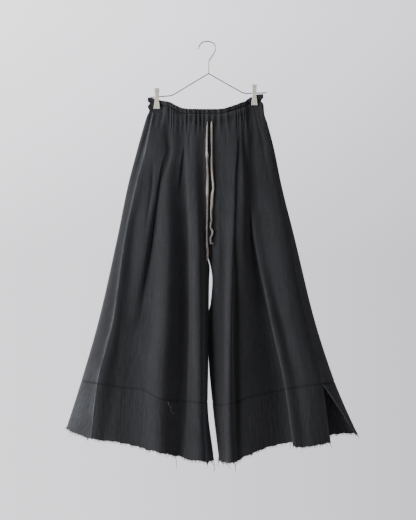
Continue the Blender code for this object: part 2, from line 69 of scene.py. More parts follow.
def place_object(name, data):
    """An object with this data, in the scene."""
    thing = bpy.data.objects.new(name, data)
    bpy.context.scene.collection.objects.link(thing)
    return thing


def new_material(name, **inputs):
    """A material, its nodes and its shader, with these values on the shader's own inputs."""
    material = bpy.data.materials.new(name)
    material.use_nodes = True
    shader = material.node_tree.nodes["Principled BSDF"]
    for label, value in inputs.items():
        shader.inputs[label.replace("_", " ")].default_value = value
    return material, material.node_tree, shader


def node(tree, kind, inputs, **settings):
    """A shader node whose inputs are numbers, colours or other nodes' outputs."""
    made = tree.nodes.new("ShaderNode" + kind)
    for name, value in settings.items():
        setattr(made, name, value)
    for label, value in inputs.items():
        if isinstance(value, bpy.types.NodeSocket):
            tree.links.new(value, made.inputs[label])
        else:
            made.inputs[label].default_value = value
    return made


def maths(tree, operation, first, second=0.0):
    """One sum on numbers or other nodes' outputs."""
    return node(tree, "Math", {0: first, 1: second}, operation=operation).outputs[0]


def ranged(tree, value, low, high, to_low=0.0, to_high=1.0):
    """A value carried from one range to another and held inside it."""
    ends = {"Value": value, "From Min": low, "From Max": high, "To Min": to_low, "To Max": to_high}
    return node(tree, "MapRange", ends).outputs["Result"]


def mixed(tree, factor, first, second, how="MIX"):
    """Two colours mixed, or multiplied, by a factor."""
    return node(tree, "Mix", {"Factor": factor, "A": first, "B": second}, data_type="RGBA",
                blend_type=how).outputs["Result"]


def opaque(colour, gain=1.0):
    """A colour made brighter or darker, with its alpha."""
    return (*[gain * part for part in colour], 1)


camera_data = bpy.data.cameras.new("camera")
camera_data.sensor_width = SENSOR
camera_data.lens = SENSOR * -CAMERA_PLACE[1] / FRAME_HEIGHT
camera = place_object("camera", camera_data)
camera.location = CAMERA_PLACE
camera.rotation_euler = (math.pi / 2, 0.0, 0.0)
bpy.context.scene.camera = camera

floor_mesh = bmesh.new()
bmesh.ops.create_circle(floor_mesh, cap_ends=True, radius=FLOOR_RADIUS, segments=96)
bmesh.ops.translate(floor_mesh, verts=floor_mesh.verts, vec=(0.0, 0.0, FLOOR_HEIGHT))
floor_data = bpy.data.meshes.new("floor")
floor_mesh.to_mesh(floor_data)
floor_mesh.free()
place_object("floor", floor_data)
floor_data.materials.append(new_material("floor_paint", Base_Color=FLOOR_GREY, Roughness=0.9)[0])

world = bpy.data.worlds.new("surround")
bpy.context.scene.world = world
world.use_nodes = True
sky = world.node_tree
sky.nodes.clear()
direction = node(sky, "SeparateXYZ", {"Vector": node(sky, "TexCoord", {}).outputs["Generated"]})
across = ranged(sky, direction.outputs["X"], -SURROUND_SPREAD, SURROUND_SPREAD)
tint = mixed(sky, across, opaque(SURROUND_LEFT), opaque(SURROUND_RIGHT))
to_camera = node(sky, "LightPath", {}).outputs["Is Camera Ray"]
seen = ranged(sky, to_camera, 0.0, 1.0, SURROUND_LIGHT, SURROUND_SHOWN)
lit = maths(sky, "MULTIPLY", seen, ranged(sky, direction.outputs["Z"], 0.0, *SURROUND_RISE))
glow = node(sky, "Background", {"Color": tint, "Strength": lit})
node(sky, "OutputWorld", {"Surface": glow.outputs["Background"]})


def soft_light(name, place, size, power, colour):
    """A square area light that looks at the garment's middle."""
    data = bpy.data.lights.new(name, "AREA")
    data.shape = "SQUARE"
    data.size = size
    data.energy = power
    data.color = colour
    lamp = place_object(name, data)
    lamp.location = place
    lamp.rotation_euler = (AIM - Vector(place)).to_track_quat("-Z", "Y").to_euler()


soft_light("window", (-3.0, -1.45, 0.10), 2.3, 190.0, (0.97, 0.985, 1.0))
soft_light("fill", (3.1, -1.9, 0.0), 2.2, 24.0, (1.0, 0.985, 0.97))
soft_light("back_glow", (-1.2, 2.8, 0.2), 2.2, 60.0, (1.0, 1.0, 1.0))

# ---------------------------------------------------------------- the cloth
# One heavy cloth for legs, bands and waist: black linen and cotton in plain weave, washed, with
# thick and thin yarns that show as short pale and dark streaks. It is matt, with a faint nap.
CLOTH_BLACK = (0.0240, 0.0243, 0.0272)
CLOTH_PALE = (0.100, 0.105, 0.114)      # the same cloth at full painted highlight
YARN_PITCH = 0.85 * MM


def streaks(tree, place, along_u, along_v, low=0.3, high=0.7):
    """Noise stretched by different scales across and along the cloth, from 0 to 1."""
    stretch = node(tree, "Mapping", {"Vector": place, "Scale": (along_u, along_v, 1.0)})
    noise = node(tree, "TexNoise", {"Vector": stretch.outputs["Vector"], "Scale": 1.0, "Detail": 2.0,
                                    "Roughness": 0.55})
    return ranged(tree, noise.outputs["Fac"], low, high)


def weighted(tree, *pairs):
    """Sum of values, each times its weight."""
    total = maths(tree, "MULTIPLY", *pairs[0])
    for pair in pairs[1:]:
        total = maths(tree, "ADD", total, maths(tree, "MULTIPLY", *pair))
    return total


def relief(tree, height, strength, distance, under=None):
    """Normal of a bumped surface, on top of another bump's where there is one."""
    inputs = {"Height": height, "Strength": strength, "Distance": distance}
    if under is not None:
        inputs["Normal"] = under
    return node(tree, "Bump", inputs).outputs["Normal"]


weave = bpy.data.node_groups.new("plain_weave", "ShaderNodeTree")
weave.interface.new_socket("Place", in_out="INPUT", socket_type="NodeSocketVector")
weave.interface.new_socket("Pitch", in_out="INPUT", socket_type="NodeSocketFloat").default_value = YARN_PITCH
weave.interface.new_socket("Shade", in_out="OUTPUT", socket_type="NodeSocketFloat")
weave.interface.new_socket("Height", in_out="OUTPUT", socket_type="NodeSocketFloat")
place, pitch = weave.nodes.new("NodeGroupInput").outputs[:2]
weave_out = weave.nodes.new("NodeGroupOutput")
sides = node(weave, "SeparateXYZ", {"Vector": place}).outputs
waves = [maths(weave, "SINE", maths(weave, "MULTIPLY", maths(weave, "DIVIDE", sides[axis], pitch), math.pi))
         for axis in ("X", "Y")]
crests = [maths(weave, "ABSOLUTE", wave) for wave in waves]
yarns = weighted(weave, (maths(weave, "MULTIPLY", *crests), 1.0), (maths(weave, "MULTIPLY", *waves), 0.5))
slubs = weighted(weave, (streaks(weave, place, 620.0, 16.0, 0.34, 0.72), 0.42),
                 (streaks(weave, place, 1150.0, 42.0, 0.30, 0.74), 0.30),
                 (streaks(weave, place, 24.0, 760.0, 0.42, 0.80), 0.24))
mottle = streaks(weave, place, 14.0, 9.0, 0.25, 0.75)
shade = weighted(weave, (slubs, 1.0), (mottle, 0.26), (yarns, 0.16))
weave.links.new(shade, weave_out.inputs["Shade"])
weave.links.new(weighted(weave, (slubs, 0.9), (yarns, 0.5)), weave_out.inputs["Height"])


def cloth_finish(name, crinkle):
    """The cloth as a material, laid by its own UV map and crumpled by crinkle. Its painted light attribute
    runs from 1, full painted highlight, through 0 to -1, the deepest painted shade."""
    material, tree, shader = new_material(name, Roughness=0.86, Specular_IOR_Level=0.28, Sheen_Weight=0.22,
                                          Sheen_Roughness=0.55, Sheen_Tint=(0.90, 0.92, 1.0, 1.0))
    laid = node(tree, "UVMap", {}, uv_map="cloth").outputs["UV"]
    pattern = node(tree, "Group", {"Place": laid, "Pitch": YARN_PITCH}, node_tree=weave).outputs
    yarn_tint = ranged(tree, pattern["Shade"], 0.15, 1.0, 0.50, 1.62)
    painted_light = node(tree, "Attribute", {}, attribute_name="painted_light").outputs["Fac"]
    # Painted highlight: the colour goes towards CLOTH_PALE as the attribute rises above 0.
    highlit = mixed(tree, maths(tree, "MULTIPLY", painted_light, yarn_tint), opaque(CLOTH_BLACK), opaque(CLOTH_PALE))
    tinted = mixed(tree, 1.0, highlit, yarn_tint, "MULTIPLY")
    # Painted shade: the colour darkens as the attribute falls below 0.
    shaded = mixed(tree, 1.0, tinted, ranged(tree, painted_light, -1.0, 0.0, 0.12, 1.0), "MULTIPLY")
    tree.links.new(shaded, shader.inputs["Base Color"])
    wrinkles = weighted(tree, (streaks(tree, laid, 120.0, 22.0, 0.2, 0.8), 1.0),
                        (streaks(tree, laid, 95.0, 80.0, 0.2, 0.8), 0.5))
    woven = relief(tree, pattern["Height"], 0.5, 0.35 * MM)
    tree.links.new(relief(tree, wrinkles, crinkle, 1.2 * MM, woven), shader.inputs["Normal"])
    return material


black_cloth = cloth_finish("black_cloth", 0.35)
band_cloth = cloth_finish("band_cloth", 0.9)

# ---------------------------------------------------------------- leg panels
# Two fronts and two backs of the black cloth, sewn at the side seams, the inseams and the centre
# seams. Each front is laid in deep pleats below the waist. The fold lines run from the waist seam
# to the hem, and the cloth swings smoothly from one to the next.
LEVEL_DROP = (0, 72, 172, 315, 536, 720, 870)       # waist, tuck, hip, thigh, knee, band, hem
LEVEL_HEIGHT = (-287, -387, -530, -751)             # of the four levels between waist and band
BAND_DROP = LEVEL_DROP[5]
HEM_DROP = LEVEL_DROP[6]

# across is x and forward is the stand in front of the side seams' plane at the seven levels; ends
# is the height of the waist seam, band seam and hem; parts counts the solid's faces to the next.
Fold = namedtuple("Fold", "name across forward ends parts")
LEFT_FRONT = (
    Fold("trough by the centre", (-12, -12, -11, -9, -8, -8, 2),
         (9, 18, 23, 27, 27, 30, 35), (-218, -970, -1130), 4),
    Fold("inner ridge", (-35, -34, -31, -25, -20, -18, -11),
         (11, 22, 31, 41, 50, 58, 66), (-218, -969, -1124), 2),
    Fold("inner ridge shoulder", (-50, -50, -48, -44, -44, -46, -52),
         (10, 19, 27, 33, 37, 47, 57), (-218, -967, -1119), 3),
    Fold("pleat trough", (-64, -65, -63, -56, -54, -60, -71),
         (8, 12, 15, 19, 23, 33, 45), (-217, -966, -1115), 4),
    Fold("pleat ridge", (-90, -93, -108, -105, -112, -123, -125),
         (9, 15, 27, 41, 55, 67, 76), (-207, -958, -1100), 3),
    Fold("ridge foot", (-99, -100, -126, -143, -152, -172, -180),
         (8, 13, 21, 26, 35, 48, 58), (-202, -935, -1088), 2),
    Fold("outer pleat return", (-106, -106, -131, -150, -183, -217, -236),
         (6, 13, 20, 22, 30, 42, 54), (-200, -931, -1074), 1),
    Fold("outer pleat edge", (-113, -113, -136, -159, -200, -230, -250),
         (7, 15, 22, 31, 32, 43, 54), (-199, -930, -1073), 3),
    Fold("outer panel", (-130, -148, -172, -200, -218, -247, -268),
         (5, 14, 20, 25, 33, 43, 52), (-196, -926, -1072), 2),
    Fold("side seam", (-148, -166, -192, -222, -254, -296, -313),
         (5, 10, 17, 28, 40, 50, 53), (-192, -918, -1064), 2),
)
RIGHT_FRONT = (
    Fold("trough by the centre", (15, 15, 15, 17, 17, 24, 36),
         (9, 17, 22, 26, 25, 29, 35), (-218, -977, -1127), 3),
    Fold("inner slope", (42, 45, 46, 46, 44, 42, 47),
         (11, 20, 26, 31, 36, 43, 52), (-217, -975, -1128), 3),
    Fold("inner pleat edge", (75, 77, 74, 67, 62, 59, 61),
         (9, 23, 31, 39, 48, 54, 63), (-208, -973, -1128), 2),
    Fold("inner pleat return", (82, 80, 77, 71, 70, 76, 83),
         (8, 21.5, 29.5, 36.5, 32, 35, 47), (-206, -971, -1124), 2),
    Fold("pleat floor", (89, 93, 97, 95, 92, 98, 104),
         (8, 21, 31, 35, 30, 36, 47), (-203, -961, -1111), 4),
    Fold("outer pleat return", (97, 99, 109, 125, 181, 218, 236),
         (8, 16, 21, 17, 15, 25, 37), (-201, -934, -1077), 2),
    Fold("outer pleat edge", (104, 105, 114, 124, 169, 208, 228),
         (8, 16, 18, 24, 42, 54, 64), (-199, -932, -1084), 2),
    Fold("outer trough", (116, 121, 133, 148, 199, 238, 257),
         (5, 13, 19, 26, 40, 52, 63), (-190, -930, -1086), 3),
    Fold("outer ridge", (130, 146, 168, 196, 229, 266, 281),
         (4, 11, 20, 32, 45, 55, 63), (-187, -924, -1084), 3),
    Fold("side seam", (147, 167, 188, 218, 263, 306, 328),
         (4, 9, 16, 25, 34, 44, 48), (-186, -921, -1075), 2),
)
LEFT_OUTLINE = Fold("outline", (-162, -189, -215, -244, -294, -341, -382), (0, -3, -6, -8, -10, -12, -14),
                    (-192, -916, -1043), 3)
RIGHT_OUTLINE = Fold("outline", (152, 179, 200, 235, 289, 343, 400), (0, -3, -6, -8, -10, -12, -10),
                     (-186, -918, -1056), 3)
FRONT = {-1: LEFT_FRONT, 1: RIGHT_FRONT}
OUTLINE = {-1: LEFT_OUTLINE, 1: RIGHT_OUTLINE}
CORNER_TAPER = {-1: 0.0, 1: 7.0}    # how far the frill's corner has drawn in above the waist seam
BACK_WAIST_CURVE = 2.2              # the back's waist seam rises late, so it hides behind the front's
SLIT_SPREAD = (67.0, 18.0, 19.0)    # how far the right band's slit has opened at the hem: out, back, up
CENTRE_PARTS = 2

# Soft folds of the backs. share is the place between the centre and the outline.
BackFold = namedtuple("BackFold", "name share_waist share_hem backward hem_share parts")
BACK = (
    BackFold("outer ridge", 0.86, 0.82, (4, 15, 26, 38, 52, 64, 73), 0.77, 4),
    BackFold("outer trough", 0.71, 0.62, (7, 14, 20, 27, 35, 42, 48), 0.65, 4),
    BackFold("middle ridge", 0.53, 0.43, (9, 22, 32, 44, 58, 70, 80), 0.46, 4),
    BackFold("middle trough", 0.38, 0.27, (8, 15, 21, 28, 36, 44, 51), 0.27, 4),
    BackFold("inner ridge", 0.21, 0.15, (10, 22, 32, 42, 53, 64, 72), 0.13, 3),
    BackFold("trough by the centre", 0.08, 0.085, (9, 16, 21, 26, 28, 32, 36), 0.03, 2),
)
# The inner edge: centre seam, crotch, inseam. turn is 0 where it faces its fellow, 1 at an inseam.
Edge = namedtuple("Edge", "name drop left right depth turn")
INNER_EDGE = (
    Edge("waist", 0, 0.0, 0.0, 10, 0.0),
    Edge("tuck", 72, 0.0, 0.0, 20, 0.0),
    Edge("hip", 172, 0.0, 0.0, 26, 0.0),
    Edge("rise", 285, 0.0, 0.0, 28, 0.0),
    Edge("fork", 335, -0.9, 0.9, 14, 0.5),
    Edge("crotch", 358, -0.9, 0.9, 0, 1.0),
    Edge("gap top", 400, 5.6, 9.6, 0, 1.0),
    Edge("gap", 430, 4.0, 12.8, 0, 1.0),
    Edge("gap foot", 493, 3.2, 8.2, 0, 1.0),
    Edge("touch", 514, 3.1, 3.7, 0, 1.0),
    Edge("knee", 536, 3.1, 3.7, 0, 1.0),
    Edge("calf", 612, 2.3, 2.9, 0, 1.0),
    Edge("band", 720, 0.2, 12.6, 0, 1.0),
    Edge("hem", 870, 16.5, 30.5, 0, 1.0),
)
INNER_ENDS = (-218, -971, -1125)

CLOTH_THICKNESS = 0.7
SEAM_DIP = 0.9              # a seam sinks this far into the cloth's face
SEAM_REACH = 2.6            # and this far to each side
SEAM_SHADE = 0.6
FINER = 6                   # columns of the shell for each face of the solid
ROW_PITCH = 5.0
EDGE_ROWS = (0.0, 0.8, 1.8, 3.2, 5.0)      # rows close to a sewn or raw edge
GATHER_FADE = 46.0          # the gathers have died out this far below the waist seam
GATHER_UNEVENNESS = 0.3
CASING_HEIGHT = 23.5
FRILL_HEIGHT = 12.3
FRILL_EXTRA = 4.5
WAIST_HALF_WIDTH = 155.0
CasingRow = namedtuple("CasingRow", "name rise puff gather")
CASING = (
    CasingRow("waist seam", 0.0, 0.0, 2.3),
    CasingRow("puff", 12.0, 1.6, 2.2),
    CasingRow("stitch line", 23.5, -0.4, 1.8),
    CasingRow("top", 35.8, 1.2, 3.2),
)
CLIP_CENTRES = (-137.0, 126.4)
CLIP_HALF_GRIP = 0.95
CLIP_HOLD = (13.0, 27.0)    # the cloth is flat this near to a clip's centre, and free beyond
CLIP_HOLD_DROPS = (-12.0, 34.0)
GATHER_SHARE = 0.5          # how much of the even gathers is left under the listed ones
FRILL_RIPPLE = 0.9
CORNER_REACH = 16.0
# How far the corner of the waist is drawn in, by height below the waist seam, to its foot.
CORNER_WAVE = {-1: ((-35, 0.5), (-30, 0.0), (-23, 5.0), (-15, 0.5), (-6, 4.5), (8, 0.5), (22, 0.0)),
               1: ((-35, -5.6), (-30, -5.0), (-23, 1.6), (-14, -1.4), (-4, -0.6), (10, 1.6), (24, 0.0))}
CORNER_WAVE_FOOT = 22.0
CORNER_LIFT = {-1: 0.0, 1: 4.6}


# Creases, for each side and face: width, lip, and the path as (x, z, depth) from the
# top down. The cloth sinks by depth, or rises where it is negative, and width is its reach to each
# side. lip is 0 for a soft crease, -1 where the cloth at its left lies over the cloth at its right,
# 1 the other way round. The face "wrap" is the back panel's strip that comes round to the front.
CREASES = {
    (-1, "front"): (
        (11, -1, (-114, -300, 0), (-124, -336, 2.0), (-133, -384, 2.2), (-139, -430, 2.2),
         (-145, -481, 2.0), (-161, -581, 1.6), (-178, -697, 1.0), (-188, -770, 0)),
        (5, 0, (-146, -319, 0), (-149, -387, 2.8), (-158, -454, 2.6), (-167, -520, 0)),
        (4, 0, (-134, -380, 0), (-139, -440, -1.3), (-147, -500, -1.0), (-155, -560, 0)),
        (9, -1, (-63, -268, 0), (-71, -325, 2.2), (-76, -363, 2.0), (-79, -410, 0)),
        (9, 0, (-104, -208, 1.5), (-111, -233, 3.4), (-108, -265, 2.6), (-101, -296, 1.4), (-99, -340, 0)),
        (3.0, 0, (-121, -175, 1.2), (-121, -195, 2.6), (-122, -214, 0)),
        (4.5, 0, (-104, -166, 1.0), (-104, -188, 2.8), (-107, -214, 0)),
        (3.2, 0, (-83, -172, 1.0), (-83, -192, 3.0), (-84, -216, 1.2), (-84, -236, 0)),
        (3.0, 0, (-71, -176, 1.2), (-71, -200, 2.8), (-74, -226, 0.8), (-77, -252, 0)),
        (4.2, 0, (-54, -180, 1.0), (-53, -204, 3.0), (-49, -236, 2.6), (-49, -262, 2.2), (-47, -330, 0)),
        (2.6, 0, (-39, -182, 1.2), (-39, -200, 2.2), (-41, -222, 0)),
        (3.4, 0, (-28, -182, 1.4), (-28, -206, 3.0), (-29, -232, 1.8), (-32, -262, 0)),
        (2.8, 0, (-19, -184, 1.0), (-18, -205, 2.4), (-16, -236, 0)),
        (3.2, 0, (-8, -186, 1.2), (-8, -208, 2.8), (-9, -236, 1.6), (-12, -290, 0)),
        (4, 0, (-136, -178, 0), (-141, -206, 2.2), (-146, -240, 0)),
        (8, 0, (-218, -640, 0), (-232, -745, 1.2), (-241, -840, 1.6), (-262, -915, 0)),
        (7, 0, (-30, -560, 0), (-33, -650, -1.2), (-34, -760, -1.4), (-30, -900, 0)),
    ),
    (-1, "wrap"): (
        (4, 0, (-150, -186, 1.5), (-156, -222, 3.0), (-166, -255, 3.0), (-175, -287, 2.8),
         (-193, -352, 2.0), (-208, -420, 0)),
        (6, 0, (-226, -470, 0), (-241, -580, 2.4), (-254, -690, 2.8), (-271, -780, 2.2), (-296, -880, 0)),
        (5, 0, (-300, -860, 0), (-314, -930, 1.6), (-318, -1000, 1.6), (-330, -1060, 0)),
        (5, 0, (-330, -900, 0), (-338, -960, -1.2), (-350, -1050, -1.0)),
    ),
    (1, "front"): (
        (8, -1, (86, -240, 0), (80, -284, 1.8), (75, -346, 2.0), (73, -400, 2.0), (71, -481, 2.0),
         (68, -589, 1.8), (72, -697, 1.2), (70, -790, 0)),
        (8, 0, (124, -520, 0), (133, -580, 2.2), (147, -660, 2.2), (165, -740, 0)),
        (10, 0, (124, -290, 0), (126, -346, 2.2), (131, -410, 2.4), (136, -480, 0)),
        (9, 0, (108, -172, 0), (113, -206, 3.2), (122, -255, 3.6), (121, -314, 2.4), (118, -390, 0)),
        (2.6, 0, (9, -186, 1.0), (9, -206, 2.4), (8, -226, 0)),
        (3.6, 0, (25, -182, 1.4), (25, -208, 3.0), (21, -240, 1.2), (19, -270, 0)),
        (2.8, 0, (37, -180, 1.0), (38, -206, 2.4), (41, -236, 0)),
        (3.0, 0, (45, -178, 1.4), (46, -206, 2.8), (50, -240, 1.8), (53, -290, 0)),
        (3.0, 0, (57, -176, 1.0), (57, -200, 2.8), (59, -228, 1.0), (57, -256, 0)),
        (2.8, 0, (70, -174, 1.2), (71, -196, 2.2), (68, -222, 0)),
        (3.2, 0, (89, -168, 1.2), (92, -196, 3.0), (97, -222, 1.0), (99, -250, 0)),
        (5, 0, (136, -206, 0), (144, -246, 1.8), (153, -296, 1.2), (158, -350, 0)),
        (9, 0, (168, -640, 0), (181, -700, 2.0), (197, -760, 2.4), (214, -835, 1.6), (222, -900, 0)),
        (6, 0, (30, -340, 0), (29, -450, -1.2), (31, -560, -1.5), (30, -700, 0)),
    ),
    (1, "wrap"): (
        (5, 0, (172, -300, 0), (186, -350, 2.0), (205, -430, 1.6), (225, -520, 0)),
        (7, 0, (262, -700, 0), (286, -790, 1.6), (312, -880, 0)),
    ),
    (-1, "back"): (
        (3.4, 0, (-18, -182, 1.2), (-19, -206, 2.8), (-22, -248, 1.4), (-24, -320, 0)),
        (3.0, 0, (-37, -180, 1.0), (-37, -202, 2.6), (-35, -234, 0)),
        (4.4, 0, (-58, -176, 1.2), (-59, -204, 3.2), (-62, -250, 2.0), (-66, -340, 0)),
        (3.0, 0, (-79, -174, 1.0), (-80, -198, 2.4), (-78, -226, 0)),
        (3.8, 0, (-99, -168, 1.0), (-100, -194, 2.8), (-106, -246, 1.4), (-110, -300, 0)),
        (12, -1, (-70, -300, 0), (-84, -400, 2.6), (-90, -520, 2.0), (-104, -640, 0)),
        (8, 0, (-160, -420, 0), (-176, -540, 1.8), (-198, -680, 1.6), (-214, -800, 0)),
    ),
    (1, "back"): (
        (3.2, 0, (15, -184, 1.2), (14, -208, 2.6), (17, -252, 1.2), (18, -310, 0)),
        (3.4, 0, (34, -180, 1.0), (35, -204, 3.0), (38, -244, 0)),
        (2.8, 0, (52, -178, 1.2), (53, -206, 2.4), (50, -236, 0)),
        (4.2, 0, (74, -174, 1.0), (76, -202, 3.2), (82, -258, 1.8), (88, -350, 0)),
        (3.0, 0, (98, -168, 1.0), (100, -192, 2.4), (103, -224, 0)),
        (11, 1, (62, -290, 0), (74, -390, 2.4), (92, -520, 2.4), (101, -680, 0)),
        (9, 0, (150, -430, 0), (170, -560, 1.6), (200, -700, 1.8), (221, -820, 0)),
    ),
}
LIP_EDGE = 1.0              # a lip falls away within this distance
CREASE_SHARES = (0.25, 0.5, 1.0)        # how much of each crease is left on frill, casing and leg
SIDE_SEAM_RISE = {-1: 1.8, 1: 0.72}     # the side seams are pressed to one side and stand up in a ridge
SIDE_SEAM_REACH = 2.1
# Shares of painted light. Painted highlight: along the side seams, on the back's strip that shows beside the
# front, and on that strip's outer rim. Painted shade: beside the drawstring, and in the folds at the foot of
# the fronts.
SEAM_HIGHLIGHT = {-1: 0.9, 1: 0.05}
STRIP_HIGHLIGHT = 0.26
RIM_HIGHLIGHT = 0.4
TAPE_SHADE = 0.7
FOOT_SHADE = {-1: 0.22, 1: 0.38}
SHADED_FOLDS = {-1: slice(-7 * FINER, -FINER), 1: slice(10 * FINER, 16 * FINER)}


def through(knots, values, at):
    """Smooth curve through the knots that never overshoots a value, run on straight past the last."""
    values = np.asarray(values, float)
    if at <= knots[0]:
        return values[0]
    steps = np.diff(knots)
    slopes = np.diff(values, axis=0) / steps.reshape((-1,) + (1,) * (values.ndim - 1))
    tangents = np.empty_like(values)
    tangents[0], tangents[-1] = slopes[0], slopes[-1]
    same_way = slopes[1:] * slopes[:-1] > 0
    total = np.where(same_way, slopes[1:] + slopes[:-1], 1.0)
    tangents[1:-1] = np.where(same_way, 2 * slopes[1:] * slopes[:-1] / total, 0.0)
    if at >= knots[-1]:
        return values[-1] + tangents[-1] * (at - knots[-1])
    k = int(np.searchsorted(knots, at, side="right")) - 1
    return hermite(values[k], values[k + 1], tangents[k] * steps[k], tangents[k + 1] * steps[k],
                   (at - knots[k]) / steps[k])


def hermite(start, end, start_pull, end_pull, f):
    """Cubic between two values with the given pulls at its ends."""
    return ((2 * f**3 - 3 * f**2 + 1) * start + (f**3 - 2 * f**2 + f) * start_pull
            + (3 * f**2 - 2 * f**3) * end + (f**3 - f**2) * end_pull)


def ease(value, low, high):
    """0 below low, 1 above high, smooth between."""
    f = np.clip((value - low) / (high - low), 0.0, 1.0)
    return f * f * (3 - 2 * f)


def bell(value, reach):
    """1 where the value is 0, falling to nothing on both sides over its reach."""
    return np.exp(-(value / reach) ** 2)


def heights(ends):
    """Heights of the seven levels on a line from its waist seam, band seam and hem."""
    waist, band, hem = ends
    return (waist, *LEVEL_HEIGHT, band, hem)


def fold_point(fold, drop):
    """Where a fold line is at a drop below the waist seam."""
    return np.array((through(LEVEL_DROP, fold.across, drop), -through(LEVEL_DROP, fold.forward, drop),
                     through(LEVEL_DROP, heights(fold.ends), drop)))


def back_folds(outline):
    """The back's fold lines, spread between the centre and the leg's outline."""
    folds = []
    shares = np.linspace(0, 1, len(LEVEL_DROP))
    for row in BACK:
        share = row.share_waist + (row.share_hem - row.share_waist) * shares
        ends = [inner + row.hem_share * (outer - inner) for inner, outer in zip(INNER_ENDS, outline.ends)]
        ends[0] = INNER_ENDS[0] + row.share_waist ** BACK_WAIST_CURVE * (outline.ends[0] - INNER_ENDS[0])
        folds.append(Fold(row.name, tuple(share * np.array(outline.across)),
                          tuple(-value for value in row.backward), ends, row.parts))
    return folds


def chain(side, face, drop):
    """Fold points of one face of a leg at a drop, the pulls there and the parts per stretch."""
    front, outline = FRONT[side], OUTLINE[side]
    rows = [(row.left if side < 0 else row.right, row.depth, row.turn) for row in INNER_EDGE]
    x, depth, turn = through([row.drop for row in INNER_EDGE], rows, drop)
    z = through(LEVEL_DROP, heights(INNER_ENDS), drop)
    if face == "front":
        points = [np.array((x, -depth, z))] + [fold_point(fold, drop) for fold in front + (outline,)]
        parts = [CENTRE_PARTS] + [fold.parts for fold in front[:-1]]
        inner_pull = np.array((side * (1 - turn), -turn, 0.0))
    else:
        lines = [front[-2], front[-1], outline] + back_folds(outline)
        points = [fold_point(fold, drop) for fold in lines] + [np.array((x, depth, z))]
        if side > 0 and drop > BAND_DROP:
            points[1] = points[1] + np.array(SLIT_SPREAD) * (drop - BAND_DROP) / (HEM_DROP - BAND_DROP)
        parts = [fold.parts for fold in lines[1:]]
        inner_pull = np.array((-side * (1 - turn), -turn, 0.0))
    pulls = [np.zeros(3)] * len(points)
    for k in range(1, len(points) - 1):
        before = points[k] - points[k - 1]
        after = points[k + 1] - points[k]
        mean = before / np.linalg.norm(before) + after / np.linalg.norm(after)
        pulls[k] = mean / np.linalg.norm(mean)
    pulls[0 if face == "front" else -1] = inner_pull / np.linalg.norm(inner_pull)
    kept = slice(None, -1) if face == "front" else slice(1, None)
    return points[kept], pulls[kept], parts


def section(side, face, drop):
    """Points across one face of a leg at a drop, before gathers."""
    points, pulls, parts = chain(side, face, drop)
    out = [points[0]]
    for k, count in enumerate(parts):
        length = np.linalg.norm(points[k + 1] - points[k])
        f = (np.arange(count * FINER) + 1.0)[:, None] / (count * FINER)
        out.extend(hermite(points[k], points[k + 1], pulls[k] * length, pulls[k + 1] * length, f))
    return np.array(out)


def from_clips(x):
    """Distance sideways to the nearer clip's centre."""
    return np.min([np.abs(x - centre) for centre in CLIP_CENTRES], axis=0)


def cloth_row(side, face, drop):
    """One row of the cloth's middle surface, gathered towards the waist and flat in the clips."""
    row = section(side, face, max(drop, 0.0))
    waist_x = section(side, face, 0.0)[:, 0]
    outline_x = abs(OUTLINE[side].across[0])
    puff = 0.0
    gather = CASING[0].gather * (1 - ease(drop, 0.0, GATHER_FADE))
    if drop < 0:
        corner = np.minimum(np.abs(waist_x) / WAIST_HALF_WIDTH, 1.0) ** 2
        share = -drop / (CASING_HEIGHT + FRILL_HEIGHT)
        row[:, 2] += share * (CASING_HEIGHT + FRILL_HEIGHT + FRILL_EXTRA * corner)
        row[:, 0] -= side * CORNER_TAPER[side] * share * corner
        rises = [line.rise for line in CASING]
        gather = through(rises, [line.gather for line in CASING], -drop)
        ripple = FRILL_RIPPLE * (np.sin(row[:, 0] / 1.05 + 2.0 * np.sin(row[:, 0] / 7.0))
                                 * ease(-drop, CASING_HEIGHT, rises[-1] + 0.2))
        row[:, 2] += 0.5 * ripple
        puff = through(rises, [line.puff for line in CASING], -drop) + ripple
    corner_column = ease(np.abs(row[:, 0]), outline_x - CORNER_REACH, outline_x - 1.0)
    wave = np.array(CORNER_WAVE[side])
    row[:, 0] -= side * corner_column * through(wave[:, 0], wave[:, 1], min(drop, CORNER_WAVE_FOOT))
    past_clip = ease(np.abs(waist_x), outline_x - 24.0, outline_x - 13.0)
    row[:, 2] += past_clip * CORNER_LIFT[side] * ease(-drop, 20.0, 33.0)
    place = np.arange(len(row)) / FINER
    uneven = 1 - GATHER_UNEVENNESS * (0.5 + 0.5 * np.sin(1.3 * place + 0.4 * np.sin(0.9 * place)))
    free = 1 - ease(np.abs(waist_x), outline_x - CORNER_REACH, outline_x - 3.0)
    out = -1.0 if face == "front" else 1.0
    row[:, 1] += out * free * (puff + GATHER_SHARE * gather * np.cos(math.pi * place) * uneven)
    held = (1 - ease(from_clips(waist_x), *CLIP_HOLD)) * (1 - ease(drop, *CLIP_HOLD_DROPS))
    flat = np.clip(row[:, 1], -CLIP_HALF_GRIP, CLIP_HALF_GRIP)
    row[:, 1] += held * (flat - row[:, 1])
    return row


def rows_between(top, bottom, pitch=ROW_PITCH):
    """Drops of a panel's rows: an even pitch, with closer rows by the two edges."""
    near = [top + step for step in EDGE_ROWS] + [bottom - step for step in EDGE_ROWS]
    inner = np.arange(top + EDGE_ROWS[-1] + pitch, bottom - EDGE_ROWS[-1] - pitch / 2, pitch)
    return np.array(sorted(set(near) | set(float(value) for value in inner)))


def travelled_along(line):
    """Distance along a line of points, from its start to each of them."""
    return np.concatenate(([0.0], np.cumsum(np.linalg.norm(np.diff(line, axis=0), axis=1))))


def smooth_route(path, count):
    """Evenly spaced points on a smooth curve through a path's own points."""
    path = np.array(path, float)
    knots = travelled_along(path)
    return np.array([through(knots, path, at) for at in np.linspace(0.0, knots[-1] - 1e-6, count)])


